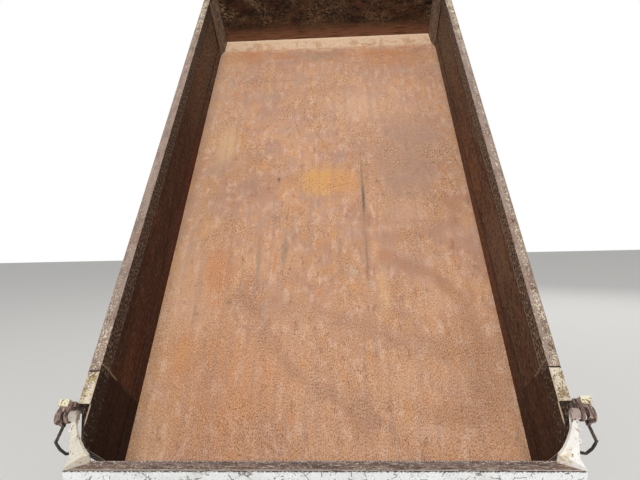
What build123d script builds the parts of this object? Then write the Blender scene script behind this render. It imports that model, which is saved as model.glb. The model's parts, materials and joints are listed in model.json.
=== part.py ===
from build123d import *
import math
import os

# Tipping body of a light dump truck: a steel bed with a top-hinged tailgate,
# on a subframe with a hydraulic hoist.
# Lengths are millimetres and angles are degrees.
# +X is to the right seen from behind, +Y is forward and +Z is up.
# The bed is drawn level, with y from the rear edge of its floor and z from the floor's top, and then tipped up.

# How it stands
TIP_ANGLE = 52.4          # bed raised about its rear hinge
GATE_SWING = 32.0         # tailgate hanging away from its closed place
LATCH_DROP = 35           # hooks dropped away from the strikers

# Bed
INNER_WIDTH = 1600
INNER_LENGTH = 3010
WALL_HEIGHT = 398
FLOOR = 4.5               # floor plate
FLOOR_TURN_UP = 72        # height of the floor plate's turned-up sides
SHEET = 3.2               # walls, stakes and cross members
RAIL_WIDTH = 42
RAIL_DEPTH = 84
SIDE_SILL_WIDTH = 50
CROSS_DEPTH = 70
CROSS_WIDTH = 50
CROSS_COUNT = 10
CROSS_FIRST = 150         # first cross member from the bed's rear end
CROSS_LAST = 30           # last one from the headboard
STAKE_WIDTH = 62
STAKE_COUNT = 7
STAKE_FIRST = 430
STAKE_LAST = 35
PRESS_TAPER = 0.7         # a pressed rib's width at its face, as a share of its width at the sheet
REAR_SILL_WIDTH = 60

# Rear posts
POST_WIDTH = 112          # along the bed
POST_PLATE_DROP = 8       # the post's inner plate below the rail's top
POST_CAP_REAR = 130       # rear end of the rail's cap
POST_CAP_FRONT = 250
RAIL_SEAM = 2.5           # open seam between the cap and the rail
NOTCH_DROP_REAR = 110     # the notch below the rail's top, at the rear face
NOTCH_DROP_FRONT = 30     # and at the cap
CUT = 1                   # how far a cutting shape runs past what it cuts

# Headboard
HEAD_RISE = 162           # headboard above the rails
HEAD_RIB_DEPTH = 38
HEAD_RIB_WIDTH = 60
HEAD_RIB_COUNT = 5
HEAD_RIB_END = 202        # outermost ribs from the headboard's ends
HEAD_RAIL = 50
FILLET_REACH = 50
FILLET_EDGE = 4.8         # the sloping plate's thickness, measured along the floor
CORNER_ALONG = 95
CORNER_ACROSS = 46
CORNER_DROP = 4           # corner plate's top below the rails' tops
GUARD_TUBE = 42.7
GUARD_HEIGHT = 280
GUARD_BAR_COUNT = 4
GUARD_END = 222           # outermost bars from the headboard's ends

# Long sills and subframe
SILL_DEPTH = 140
SILL_WIDTH = 60
SILL_OUTER = 375
SILL_PLATE = 6
SILL_AHEAD = 100          # sills' rear ends ahead of the hinge axis
SILL_SHORT = 20           # their front ends behind the headboard
SUB_RAIL_HEIGHT = 150
SUB_RAIL_WIDTH = 70
SUB_RAIL_OUTER = 380
SUB_RAIL_PLATE = 6
SUB_REAR = -70            # rear end of the rails from the hinge axis
SUB_SHORT = 30            # how far the rails stop short of the headboard
SUB_CROSS_DEPTH = 80
SUB_CROSS_WIDTH = 50
SUB_CROSS_LOW = 15
SUB_CROSS_REAR = 170      # rear cross member from the hinge axis
SUB_CROSS_AHEAD = 600     # next one ahead of the hoist's lower pin
SUB_CROSS_COUNT = 3       # from there forward
SUB_CROSS_END = 60        # front one from the rails' front ends
PAD = 15
PAD_GAP = 1.0
PAD_LENGTH = 120
PAD_COUNT = 5
PAD_FIRST = 420
PAD_LAST = 30             # front pad's end from the rails' front ends
PAD_INSET = 5             # pads inside the sills' faces
FISHPLATE = 10
FISHPLATE_SIZE = 130
FISHPLATE_CORNER = 14
FISHPLATE_COUNT = 2
FISHPLATE_FIRST = 330
FISHPLATE_LAST = 250      # front one from the rails' front ends
BOLT_SPACING = 80
BOLT_HOLE = 8.5           # radius

# Rear hinge
HINGE_FROM_REAR = 130
HINGE_BELOW_FLOOR = 140
HINGE_PIN = 22.5          # radius
PIN_FIT = 0.05            # radial clearance of a turning pin
SEAT_FIT = 0.03           # radial clearance of a fixed pin
HINGE_BOSS_WALL = 19.5
HINGE_EAR_PLATE = 12
HINGE_EAR_TOE = 10        # ears' rear corners ahead of the rear sill
HINGE_SLEEVE_STEP = 6     # sleeve between the ears, smaller than their ends
BRACKET_PLATE = 12
BRACKET_FRONT = 140       # front edge of the brackets from the hinge axis
BRACKET_LOW = 20
PIN_HEAD_LIP = 9
PIN_HEAD = 10
TIE_TUBE = 44             # outer radius of the tube between the brackets
TIE_TUBE_WALL = 6
TIE_TUBE_AHEAD = 30
TIE_TUBE_HEIGHT = 85
SIDE_GAP = 5              # between moving faces

# Tailgate, drawn closed
PIN_AHEAD = 82            # hinge pins ahead of the bed's rear end
PIN_ABOVE = 17            # hinge pins above the rails' tops
GATE_PIN = 12             # radius
GATE_GAP = 5
GATE_THICK = 43
GATE_DROP = 93            # tailgate's top below the rails' tops
GATE_BELOW = 45           # tailgate's foot below the floor
GATE_INSET = 8            # tailgate's ends inside the rails' outer faces
GATE_SHEET = 3.2
GATE_RAIL_DEPTH = 60
GATE_SILL_DEPTH = 50
GATE_RIB_WIDTH = 70
GATE_RIB_COUNT = 4
GATE_RIB_END = 264        # outermost ribs from the tailgate's ends
ARM_GAP = 17.5            # between the bar that carries the pin and the post's inner plate
ARM_NECK = 6              # the web's extra width inboard of the bar, at the pin
ARM_LEAN = 18             # how far its outer edge leans inboard towards the foot
ARM_FOOT = 63             # width of the flared foot
ARM_FOOT_HEIGHT = 35
ARM_TOE = 8               # the bar's height where it meets the tailgate's outer edge
ARM_GUSSET_HEIGHT = 27    # the foot's outer corner, out to the tailgate's end
ARM_WEB = 8               # thickness of the wide rear web
ARM_FLANK = 8             # width of the outer flank, set back from the rear face
ARM_STEP = 5              # depth of that set-back
ARM_BOSS = 18             # radius
ARM_BOSS_PROUD = 12
ARM_CURVE = 8             # how far the web's inner edge bows below a straight line

# Keepers outboard of the tailgate pins
KEEPER_OFF = 11           # centre of the C outboard of the rail
KEEPER_INNER = 25
KEEPER_OUTER = 48
KEEPER_BELOW = 19         # its faces below and above the pin's axis
KEEPER_ABOVE = 9
KEEPER_OPEN = 33          # angle at which the C ends, behind straight outboard
KEEPER_CHAMFER = 5
KEEPER_LUG = (34, 24)     # width and length of the block on the C's front end
KEEPER_LUG_OFF = 18       # its inner side outboard of the rail
KEEPER_LUG_AHEAD = 6      # its front ahead of the C
KEEPER_LUG_RISE = 6       # its top above the C
KEEPER_BAR_LOW = 26       # foot of the bar that carries it, above the rail's underside
KEEPER_BAR_BELOW = 10     # bar's top below the C's
KEEPER_BAR_IN = 3         # bar's sides inside the block's
CHEEK = 10                # plate in the keeper that carries the tailgate's pin
CHEEK_OFF = 6             # its face outboard of the rail
CHEEK_WALL = 12           # round the pin
PIN_END = 4               # pin's end past the cheek
CHAIN_BARE = 4            # radius
CHAIN_HOSE = 7.5          # radius of the length inside a hose
CHAIN_SEAT = 0.3          # between the chain's ends and what holds them
CHAIN_BEFORE_END = 8      # angle from the C's end to the chain's shackle
CHAIN_TOP_DROP = 28       # upper end of the chain below the C
CHAIN_LOW_Y = 14          # lower end ahead of the bed's rear end
SHACKLE = 7               # half width
STAPLE_DEPTH = 16

# Latch
LATCH_AHEAD = 40          # shaft ahead of the bed's rear end
LATCH_BELOW = 29.5        # shaft below the cross members
LATCH_SHAFT = 14          # radius
LATCH_HOOK_IN = 54        # hooks inside the rails' outer faces
LATCH_HOOK_PLATE = 12
LEVER_REACH = 140
LEVER_DROP = 150
STRIKER_BEHIND = 26       # striker pins behind the bed's rear end
STRIKER_BELOW = 21        # striker pins below the tailgate's foot
STRIKER_PIN = 8           # radius
STRIKER_CHEEK = 8
STRIKER_WALL = 8          # round the pin
STRIKER_FOOT = 18         # half length of a cheek where it meets the tailgate
LATCH_SLOT_FIT = 2.5
LATCH_BOSS_WALL = 10
LATCH_HOOK_TIP = 20       # radius of the hook's outer end
LATCH_SHAFT_PAST = 14     # shaft's end past the hook
LEVER_PLATE = 10
LEVER_BOSS_WALL = 8
LEVER_END = 11            # radius
HANGER_PLATE = 10
HANGER_INNER = 180        # inner hangers from the middle
HANGER_OUTER = 60         # outer hangers inboard of the hooks

# Hoist
HOIST_LOW_Y = 750         # lower pin, from the hinge axis
HOIST_LOW_Z = -119.5
HOIST_HIGH_Y = 1900       # upper pin on the level bed, from the hinge axis
HOIST_HIGH_Z = 15.5
HOIST_PIN = 20            # radius
BARREL = 57               # outer radius
BARREL_WALL = 7
BARREL_START = 52
BARREL_LENGTH = 748
GLAND_LIP = 5
GLAND_LENGTH = 55
ROD = 30                  # radius
ROD_ENGAGED = 100         # length of rod inside the barrel with the bed up
EYE_WALL = 20
EYE_HALF_WIDTH = 28
BASE_EYE_WALL = 18
BASE_HALF_WIDTH = 30
BARREL_CAP = 30           # thickness of the barrel's base
HOIST_EAR_PLATE = 16
HOIST_EAR_FOOT = 15       # upper ears' feet past the cross members
HOIST_PAIR_HALF = 45      # half the spacing of the cross members at the upper ears
HOIST_CLEAR = 110         # no other cross member this near the upper pin
HOIST_PIN_LIP = 6
HOIST_PIN_HEAD = 12
HOIST_MEMBER_BEHIND = 150 # rear face of the lower member behind the lower pin
HOIST_MEMBER_WIDTH = 80
HOIST_MEMBER_DROP = 10    # its top below the rails' tops
LOW_PIN_LIP = 8
LOW_PIN_PAST = 6          # plain end of the lower pin past its ear
EYE_SOCKET = 6            # rod's end inside its eye
EYE_NECK = 12
EYE_PIN_PAST = 5          # upper pin's ends past the eye
GLAND_CHAMFER = 6
FEED_PIPE = 6             # radius
FEED_PIPE_OFF = 6         # between the pipe and the barrel
UNION = 12                # half size of the blocks at the pipe's ends
UNION_IN = 40             # blocks from the barrel's ends
UNION_FIT = 0.1

# Rope hooks
HOOK_COUNT = 4
HOOK_FIRST = 300
HOOK_PLATE = 10
HOOK_DROP = 38
HOOK_RADIUS = 22          # outer
HOOK_BORE = 12            # radius
HOOK_SHANK = (6, 20)      # shank's rear and front edges from the hook's middle, at the sill


def spread(first, last, count):
    """Places at equal steps from the first to the last."""
    return [first + (last - first) * i / (count - 1) for i in range(count)]


# Sizes that follow
HALF_INNER = INNER_WIDTH / 2
HALF_OUTER = HALF_INNER + RAIL_WIDTH
WALL_INNER = HALF_INNER + FLOOR
WALL_OUTER = WALL_INNER + SHEET
RAIL_LOW = WALL_HEIGHT - RAIL_DEPTH
CROSS_LOW = -FLOOR - CROSS_DEPTH
SILL_LOW = CROSS_LOW - SILL_DEPTH
SILL_INNER = SILL_OUTER - SILL_WIDTH
SUB_RAIL_INNER = SUB_RAIL_OUTER - SUB_RAIL_WIDTH
BED_HEIGHT_DOWN = SUB_RAIL_HEIGHT + PAD - SILL_LOW
HINGE_HEIGHT = BED_HEIGHT_DOWN - HINGE_BELOW_FLOOR
HINGE_Y = HINGE_FROM_REAR
HINGE_Z = -HINGE_BELOW_FLOOR
SILL_REAR = HINGE_Y + SILL_AHEAD
SILL_FRONT = INNER_LENGTH - SILL_SHORT
HINGE_BOSS = HINGE_PIN + HINGE_BOSS_WALL
SUB_FRONT = INNER_LENGTH - HINGE_FROM_REAR - SUB_SHORT
POST_NOTCH_LOW = WALL_HEIGHT - NOTCH_DROP_REAR
POST_NOTCH_HIGH = WALL_HEIGHT - NOTCH_DROP_FRONT
HEAD_HEIGHT = WALL_HEIGHT + HEAD_RISE
HOIST_PIN_Y = HINGE_Y + HOIST_HIGH_Y
HOIST_PIN_Z = HINGE_Z + HOIST_HIGH_Z
EYE = HOIST_PIN + EYE_WALL
BASE_EYE = HOIST_PIN + BASE_EYE_WALL
BARREL_END = BARREL_START + BARREL_LENGTH
GATE_PIN_Y = PIN_AHEAD
GATE_PIN_Z = WALL_HEIGHT + PIN_ABOVE
GATE_INNER = -GATE_GAP
GATE_OUTER = GATE_INNER - GATE_THICK
GATE_SHEET_BACK = GATE_INNER - GATE_SHEET
GATE_TOP = WALL_HEIGHT - GATE_DROP
GATE_BOTTOM = -GATE_BELOW
GATE_HALF_WIDTH = HALF_OUTER - GATE_INSET
ARM_OUTER = GATE_HALF_WIDTH
ARM_WIDTH = ARM_OUTER - WALL_INNER - ARM_GAP
ARM_WAIST = ARM_OUTER - ARM_LEAN
ARM_FOOT_INNER = ARM_WAIST - ARM_FOOT
ARM_FOOT_TOP = GATE_TOP + ARM_FOOT_HEIGHT
KEEPER_X = HALF_OUTER + KEEPER_OFF
KEEPER_LOW = GATE_PIN_Z - KEEPER_BELOW
KEEPER_HIGH = GATE_PIN_Z + KEEPER_ABOVE
CHEEK_INNER = HALF_OUTER + CHEEK_OFF
CHEEK_OUTER = CHEEK_INNER + CHEEK
LATCH_Y = LATCH_AHEAD
LATCH_Z = CROSS_LOW - LATCH_BELOW
LATCH_HOOK_X = HALF_OUTER - LATCH_HOOK_IN
STRIKER_Y = -STRIKER_BEHIND
STRIKER_Z = GATE_BOTTOM - STRIKER_BELOW
LATCH_END = LATCH_HOOK_X + LATCH_HOOK_PLATE + LATCH_SHAFT_PAST
SUB_RAIL_WEB = SUB_RAIL_OUTER - SUB_RAIL_PLATE
HOIST_LOW_HEIGHT = HINGE_HEIGHT + HOIST_LOW_Z
HOIST_LOW_EAR = BASE_HALF_WIDTH + SIDE_GAP

# Rows of like pieces
CROSS_ROW = spread(CROSS_FIRST, INNER_LENGTH - CROSS_LAST, CROSS_COUNT)
HOIST_PAIR = [HOIST_PIN_Y - HOIST_PAIR_HALF, HOIST_PIN_Y + HOIST_PAIR_HALF]
CROSS_PLACES = [y for y in CROSS_ROW if abs(y - HOIST_PIN_Y) > HOIST_CLEAR] + HOIST_PAIR
STAKE_PLACES = spread(STAKE_FIRST, INNER_LENGTH - STAKE_LAST, STAKE_COUNT)
HEAD_RIB_PLACES = spread(HEAD_RIB_END - HALF_OUTER, HALF_OUTER - HEAD_RIB_END, HEAD_RIB_COUNT)
GUARD_BARS = spread(GUARD_END - HALF_OUTER, HALF_OUTER - GUARD_END, GUARD_BAR_COUNT)
SUB_CROSS_ROW = spread(HOIST_LOW_Y + SUB_CROSS_AHEAD, SUB_FRONT - SUB_CROSS_END, SUB_CROSS_COUNT)
SUB_CROSS_PLACES = [SUB_CROSS_REAR] + SUB_CROSS_ROW
PAD_PLACES = spread(PAD_FIRST, SUB_FRONT - PAD_LAST - PAD_LENGTH / 2, PAD_COUNT)
FISHPLATE_PLACES = spread(FISHPLATE_FIRST, SUB_FRONT - FISHPLATE_LAST, FISHPLATE_COUNT)
GATE_RIB_PLACES = spread(GATE_RIB_END - GATE_HALF_WIDTH, GATE_HALF_WIDTH - GATE_RIB_END, GATE_RIB_COUNT)
HOOK_PLACES = spread(HOOK_FIRST, INNER_LENGTH - HOOK_FIRST, HOOK_COUNT)


def block(x0, x1, y0, y1, z0, z1):
    """A box between two corners."""
    return Pos((x0 + x1) / 2, (y0 + y1) / 2, (z0 + z1) / 2) * Box(x1 - x0, y1 - y0, z1 - z0)


def across(sketch, x0, x1):
    """A side-view outline, drawn as (y, z), made solid from x0 to x1."""
    return extrude(Plane.YZ.offset(x0) * sketch, amount=x1 - x0)


def upright(sketch, z0, z1):
    """A plan outline, drawn as (x, y), made solid from z0 to z1."""
    return extrude(Plane.XY.offset(z0) * sketch, amount=z1 - z0)


def outline(*points):
    """A flat face through the given points."""
    return make_face(Polyline(*points, close=True))


def disc(y, z, radius):
    """A round outline at (y, z)."""
    return Pos(y, z) * Circle(radius)


def wrapped(*shapes):
    """The tight outline round several outlines."""
    return make_hull([edge for shape in shapes for edge in shape.edges()])


def spindle(y, z, radius, x0, x1):
    """A round bar along X."""
    return across(disc(y, z, radius), x0, x1)


def mirrored(part):
    """The same piece on the left side."""
    return mirror(part, about=Plane.YZ)


def channel_along(x_web, x_tip, y0, y1, z0, z1, plate):
    """A channel along Y, with its web at x_web and its flanges reaching to x_tip."""
    side = 1 if x_tip > x_web else -1
    low_x, high_x = sorted((x_web, x_tip))
    body = block(low_x, high_x, y0, y1, z0, z1)
    cut_low, cut_high = sorted((x_web + side * plate, x_tip + side))
    return body - block(cut_low, cut_high, y0 - 1, y1 + 1, z0 + plate, z1 - plate)


def pressed(middle, width, root, face, plate):
    """Outer and inner corners of a pressed rib open at its root, as (place across, depth)."""
    half, tip = width / 2, width / 2 * PRESS_TAPER
    within = face + plate if face < root else face - plate
    outer = [(middle - half, root), (middle - tip, face), (middle + tip, face), (middle + half, root)]
    inner = [(middle - half + plate, root), (middle - tip + plate, within),
             (middle + tip - plate, within), (middle + half - plate, root)]
    return outer, inner


def tipped(part):
    """From the level bed to the raised bed, on the subframe."""
    return Pos(0, 0, HINGE_HEIGHT) * Rot(TIP_ANGLE, 0, 0) * Pos(0, -HINGE_Y, -HINGE_Z) * part


def turned(part, y, z, angle):
    """A piece turned about an axis along X through (y, z)."""
    return Pos(0, y, z) * Rot(angle, 0, 0) * Pos(0, -y, -z) * part


# Bed

def floor_plate():
    """The floor with its sides turned up inside the walls."""
    plate = block(-WALL_INNER, WALL_INNER, 0, INNER_LENGTH, -FLOOR, 0)
    for side in (-1, 1):
        low, high = sorted((side * HALF_INNER, side * WALL_INNER))
        plate += block(low, high, 0, INNER_LENGTH, 0, FLOOR_TURN_UP)
    return plate


def side_wall():
    """The right wall's sheet, below its top rail."""
    return block(WALL_INNER, WALL_OUTER, 0, INNER_LENGTH, -FLOOR, RAIL_LOW)


def box_section(y0, y1):
    """A length of the right top rail, a hollow box."""
    outer = block(HALF_INNER, HALF_OUTER, y0, y1, RAIL_LOW, WALL_HEIGHT)
    return outer - block(HALF_INNER + SHEET, HALF_OUTER - SHEET, y0 - 1, y1 + 1,
                         RAIL_LOW + SHEET, WALL_HEIGHT - SHEET)


def top_rail():
    return box_section(POST_CAP_FRONT + RAIL_SEAM, INNER_LENGTH)


def wall_stakes():
    """Pressed stakes between the side sill and the rail, open towards the wall."""
    stakes = []
    for y in STAKE_PLACES:
        outer, inner = pressed(y, STAKE_WIDTH, WALL_OUTER, HALF_OUTER, SHEET)
        plan = outline(*[point[::-1] for point in outer]) - outline(*[point[::-1] for point in inner])
        stakes.append(upright(plan, -FLOOR, RAIL_LOW))
    return Compound(stakes)


def arm_back(y, inside):
    """Height at y of a line inside the closed hinge arm's rear face and parallel to it."""
    rise, run = GATE_PIN_Z - GATE_TOP - ARM_TOE, GATE_PIN_Y - GATE_OUTER
    slope = math.atan2(rise, run) + math.asin(ARM_BOSS / math.hypot(rise, run))
    return GATE_TOP + ARM_TOE + (y - GATE_OUTER) * math.tan(slope) - inside / math.cos(slope)


def post_plate():
    """The plate that carries the wall's inner face up to the cap, cut clear of the closed hinge arm."""
    top, below = WALL_HEIGHT - POST_PLATE_DROP, ARM_WEB + SIDE_GAP
    plate = outline((0, RAIL_LOW), (POST_CAP_REAR, RAIL_LOW), (POST_CAP_REAR, top), (0, top))
    plate -= outline((-CUT, arm_back(-CUT, below)), (POST_CAP_REAR, arm_back(POST_CAP_REAR, below)),
                     (-CUT, arm_back(POST_CAP_REAR, below)))
    return across(plate, HALF_INNER, WALL_INNER)


def rear_post():
    """The right rear post: a folded column, the notch for the hinge arm, and the cap of the rail."""
    column = block(WALL_OUTER, HALF_OUTER, 0, POST_WIDTH, -FLOOR, POST_NOTCH_HIGH)
    column -= block(WALL_OUTER - CUT, HALF_OUTER - FLOOR, FLOOR, POST_WIDTH - FLOOR,
                    -FLOOR - CUT, POST_NOTCH_HIGH + CUT)
    slope = outline((-CUT, POST_NOTCH_LOW), (POST_CAP_REAR, POST_NOTCH_HIGH), (POST_CAP_REAR, WALL_HEIGHT),
                    (-CUT, WALL_HEIGHT))
    column -= across(slope, WALL_OUTER - CUT, HALF_OUTER + CUT)
    cover = outline((0, POST_NOTCH_LOW), (POST_CAP_REAR, POST_NOTCH_HIGH),
                    (POST_CAP_REAR, POST_NOTCH_HIGH - FLOOR), (0, POST_NOTCH_LOW - FLOOR))
    post = column + across(cover, WALL_OUTER, HALF_OUTER)
    post += post_plate()
    post += across(outline((0, RAIL_LOW), (POST_CAP_REAR, RAIL_LOW), (POST_CAP_REAR, POST_NOTCH_HIGH),
                           (RAIL_LOW - POST_NOTCH_LOW, RAIL_LOW)), WALL_INNER, WALL_OUTER)
    cap = box_section(POST_CAP_REAR, POST_CAP_FRONT)
    cap += block(HALF_INNER + SHEET, HALF_OUTER - SHEET, POST_CAP_REAR, POST_CAP_REAR + SHEET,
                 RAIL_LOW + SHEET, WALL_HEIGHT - SHEET)
    return post + cap


def side_sill():
    """The right side sill, a hollow box under the wall."""
    inner = HALF_OUTER - SIDE_SILL_WIDTH
    outer = block(inner, HALF_OUTER, 0, INNER_LENGTH, CROSS_LOW, -FLOOR)
    return outer - block(inner + SHEET, HALF_OUTER - SHEET, -CUT, INNER_LENGTH + CUT,
                         CROSS_LOW + SHEET, -FLOOR - SHEET)


def cross_members():
    """Channels under the floor, between the side sills."""
    end = HALF_OUTER - SIDE_SILL_WIDTH
    members = []
    for y in CROSS_PLACES:
        rear, front = y - CROSS_WIDTH / 2, y + CROSS_WIDTH / 2
        member = block(-end, end, rear, front, CROSS_LOW, -FLOOR)
        member -= block(-end - CUT, end + CUT, rear + SHEET, front + CUT, CROSS_LOW + SHEET, -FLOOR - SHEET)
        members.append(member)
    return Compound(members)


def rear_sill():
    """The box across the rear end, under the floor."""
    end = HALF_OUTER - SIDE_SILL_WIDTH
    sill = block(-end, end, 0, REAR_SILL_WIDTH, CROSS_LOW, -FLOOR)
    return sill - block(-end - CUT, end + CUT, FLOOR, REAR_SILL_WIDTH - FLOOR, CROSS_LOW + FLOOR, -2 * FLOOR)


def long_sill():
    """The right long sill, a channel that rests on the subframe."""
    return channel_along(SILL_OUTER, SILL_INNER, SILL_REAR, SILL_FRONT, SILL_LOW, CROSS_LOW, SILL_PLATE)


def bed_hinge_ears():
    """Two plates and a boss at the rear end of each long sill."""
    web = wrapped(disc(HINGE_Y, HINGE_Z, HINGE_BOSS),
                  outline((REAR_SILL_WIDTH + HINGE_EAR_TOE, CROSS_LOW), (SILL_REAR, CROSS_LOW),
                          (SILL_REAR, SILL_LOW)))
    bore = disc(HINGE_Y, HINGE_Z, HINGE_PIN + PIN_FIT)
    ear = across(web - bore, SILL_INNER, SILL_INNER + HINGE_EAR_PLATE)
    ear += across(web - bore, SILL_OUTER - HINGE_EAR_PLATE, SILL_OUTER)
    ear += across(disc(HINGE_Y, HINGE_Z, HINGE_BOSS - HINGE_SLEEVE_STEP) - bore, SILL_INNER, SILL_OUTER)
    return Compound([ear, mirrored(ear)])


def hoist_ears():
    """Two ears under a pair of cross members, with the heads of the upper pin."""
    pin_y, pin_z = HOIST_PIN_Y, HOIST_PIN_Z
    foot = HOIST_PAIR_HALF + CROSS_WIDTH / 2 + HOIST_EAR_FOOT
    web = wrapped(disc(pin_y, pin_z, BASE_EYE),
                  outline((pin_y - foot, CROSS_LOW), (pin_y + foot, CROSS_LOW), (pin_y, pin_z)))
    inner = EYE_HALF_WIDTH + 2 * SIDE_GAP
    outer = inner + HOIST_EAR_PLATE
    ear = across(web, inner, outer)
    ear += spindle(pin_y, pin_z, HOIST_PIN + HOIST_PIN_LIP, outer, outer + HOIST_PIN_HEAD)
    return Compound([ear, mirrored(ear)])


def headboard():
    """The front wall's sheet."""
    return block(-HALF_OUTER, HALF_OUTER, INNER_LENGTH, INNER_LENGTH + SHEET, -FLOOR, HEAD_HEIGHT)


def headboard_ribs():
    """Pressed ribs on the cab side, open towards the sheet."""
    ribs = []
    front = INNER_LENGTH + SHEET
    for x in HEAD_RIB_PLACES:
        outer, inner = pressed(x, HEAD_RIB_WIDTH, front, front + HEAD_RIB_DEPTH, SHEET)
        ribs.append(upright(outline(*outer) - outline(*inner), -FLOOR, HEAD_HEIGHT - HEAD_RAIL))
    return Compound(ribs)


def headboard_rails():
    """The hollow box along the headboard's top, and the one at its foot."""
    sheet_front = INNER_LENGTH + SHEET
    front = sheet_front + HEAD_RIB_DEPTH
    rails = []
    top = (sheet_front, HEAD_HEIGHT - HEAD_RAIL, HEAD_HEIGHT)
    foot = (INNER_LENGTH, CROSS_LOW, -FLOOR)
    for rear, low, high in (top, foot):
        rail = block(-HALF_OUTER, HALF_OUTER, rear, front, low, high)
        rails.append(rail - block(-HALF_OUTER - CUT, HALF_OUTER + CUT, rear + SHEET, front - SHEET,
                                  low + SHEET, high - SHEET))
    return Compound(rails)


def fillet_plate():
    """The sloping plate in the corner between floor and headboard."""
    rear = INNER_LENGTH - FILLET_REACH
    strip = outline((rear, 0), (INNER_LENGTH, FILLET_REACH), (INNER_LENGTH, FILLET_REACH - FILLET_EDGE),
                    (rear + FILLET_EDGE, 0))
    plate = across(strip, -HALF_INNER, HALF_INNER)
    behind_corner_plate = outline((HALF_INNER, INNER_LENGTH - CORNER_ALONG),
                                  (HALF_INNER - CORNER_ACROSS, INNER_LENGTH), (HALF_INNER, INNER_LENGTH))
    corner = upright(behind_corner_plate, -CUT, FILLET_REACH + CUT)
    return plate - corner - mirrored(corner)


def corner_plate():
    """The right upright plate across the corner of wall and headboard."""
    run = math.hypot(CORNER_ALONG, CORNER_ACROSS)
    strip = outline((HALF_INNER, INNER_LENGTH - CORNER_ALONG), (HALF_INNER - CORNER_ACROSS, INNER_LENGTH),
                    (HALF_INNER - CORNER_ACROSS + SHEET * run / CORNER_ALONG, INNER_LENGTH),
                    (HALF_INNER, INNER_LENGTH - CORNER_ALONG + SHEET * run / CORNER_ACROSS))
    return upright(strip, 0, WALL_HEIGHT - CORNER_DROP)


def cab_guard():
    """A low guard of round tube on the headboard."""
    y = INNER_LENGTH + SHEET + HEAD_RIB_DEPTH / 2
    r = GUARD_TUBE / 2
    level = HEAD_HEIGHT + GUARD_HEIGHT - r
    reach = GUARD_BARS[-1] + r
    guard = Pos(0, y, level) * Rot(0, 90, 0) * Cylinder(r, 2 * reach)
    for x in GUARD_BARS:
        guard += Pos(x, y, (HEAD_HEIGHT + level) / 2) * Cylinder(r, level - HEAD_HEIGHT)
    return guard


def pin_keeper():
    """The right keeper: a C-shaped forging round the end of the tailgate's pin, on a lug of the post."""
    reach = 2 * KEEPER_OUTER
    end = math.radians(KEEPER_OPEN)
    ring = disc(KEEPER_X, GATE_PIN_Y, KEEPER_OUTER) - disc(KEEPER_X, GATE_PIN_Y, KEEPER_INNER)
    ring -= outline((KEEPER_X - reach, GATE_PIN_Y + reach), (CHEEK_INNER, GATE_PIN_Y + reach),
                    (CHEEK_INNER, GATE_PIN_Y), (KEEPER_X, GATE_PIN_Y),
                    (KEEPER_X + reach * math.cos(end), GATE_PIN_Y - reach * math.sin(end)),
                    (KEEPER_X - reach, GATE_PIN_Y - reach))
    keeper = upright(ring, KEEPER_LOW, KEEPER_HIGH)
    rims = keeper.edges().filter_by(GeomType.CIRCLE).filter_by(lambda edge: edge.radius > KEEPER_INNER + CUT)
    keeper = chamfer(rims, KEEPER_CHAMFER)
    lug_front = GATE_PIN_Y + KEEPER_OUTER + KEEPER_LUG_AHEAD
    width, length = KEEPER_LUG
    lug_inner = HALF_OUTER + KEEPER_LUG_OFF
    lug = block(lug_inner, lug_inner + width, lug_front - length, lug_front,
                KEEPER_LOW, KEEPER_HIGH + KEEPER_LUG_RISE)
    bar_rear, bar_front = lug_front - length + KEEPER_BAR_IN, lug_front - KEEPER_BAR_IN
    lug += block(HALF_OUTER, lug_inner + width / 2, bar_rear, bar_front,
                 RAIL_LOW + KEEPER_BAR_LOW, KEEPER_HIGH - KEEPER_BAR_BELOW)
    root = lug_front - CHEEK
    cheek = wrapped(disc(GATE_PIN_Y, GATE_PIN_Z, GATE_PIN + CHEEK_WALL),
                    outline((GATE_PIN_Y, GATE_PIN_Z), (root, KEEPER_LOW), (root, KEEPER_HIGH)))
    bored = across(cheek - disc(GATE_PIN_Y, GATE_PIN_Z, GATE_PIN + PIN_FIT), CHEEK_INNER, CHEEK_OUTER)
    top, bottom = chain_ends()
    shackle = block(top[0] - SHACKLE, top[0] + SHACKLE, top[1] - SHACKLE, top[1] + SHACKLE,
                    top[2] + CHAIN_SEAT, KEEPER_LOW)
    staple = block(HALF_OUTER, bottom[0] + SHACKLE, bottom[1] - SHACKLE, bottom[1] + SHACKLE,
                   bottom[2] - STAPLE_DEPTH, bottom[2] - CHAIN_SEAT)
    return Compound([keeper + lug + bored + shackle, staple])


def chain_ends():
    """Where the right keeper's chain starts, under the C, and where it ends, on the post."""
    middle = (KEEPER_INNER + KEEPER_OUTER) / 2
    end = math.radians(KEEPER_OPEN - CHAIN_BEFORE_END)
    top = (KEEPER_X + middle * math.cos(end), GATE_PIN_Y - middle * math.sin(end), KEEPER_LOW - CHAIN_TOP_DROP)
    bottom = (HALF_OUTER + CHAIN_HOSE + 1, CHAIN_LOW_Y, GATE_TOP)
    return top, bottom


def mitred(radius, points):
    """A round bar through the points, mitred where it turns."""
    start = Plane(origin=points[0], z_dir=Vector(*points[1]) - Vector(*points[0]))
    return sweep(start * Circle(radius), path=Polyline(*points), transition=Transition.RIGHT)


def keeper_chain():
    """The right keeper's short chain, rusted stiff: bare links to an elbow, then a length inside a hose."""
    top, bottom = chain_ends()
    elbow = (HALF_OUTER + 58, 10, KEEPER_LOW - 28)
    sag = (HALF_OUTER + 28, -9, GATE_TOP + 34)
    above = (bottom[0], bottom[1], bottom[2] + 14)
    bare = mitred(CHAIN_BARE, [top, (top[0], top[1], top[2] - 10), elbow])
    return bare + mitred(CHAIN_HOSE, [elbow, sag, above, bottom])


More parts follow.
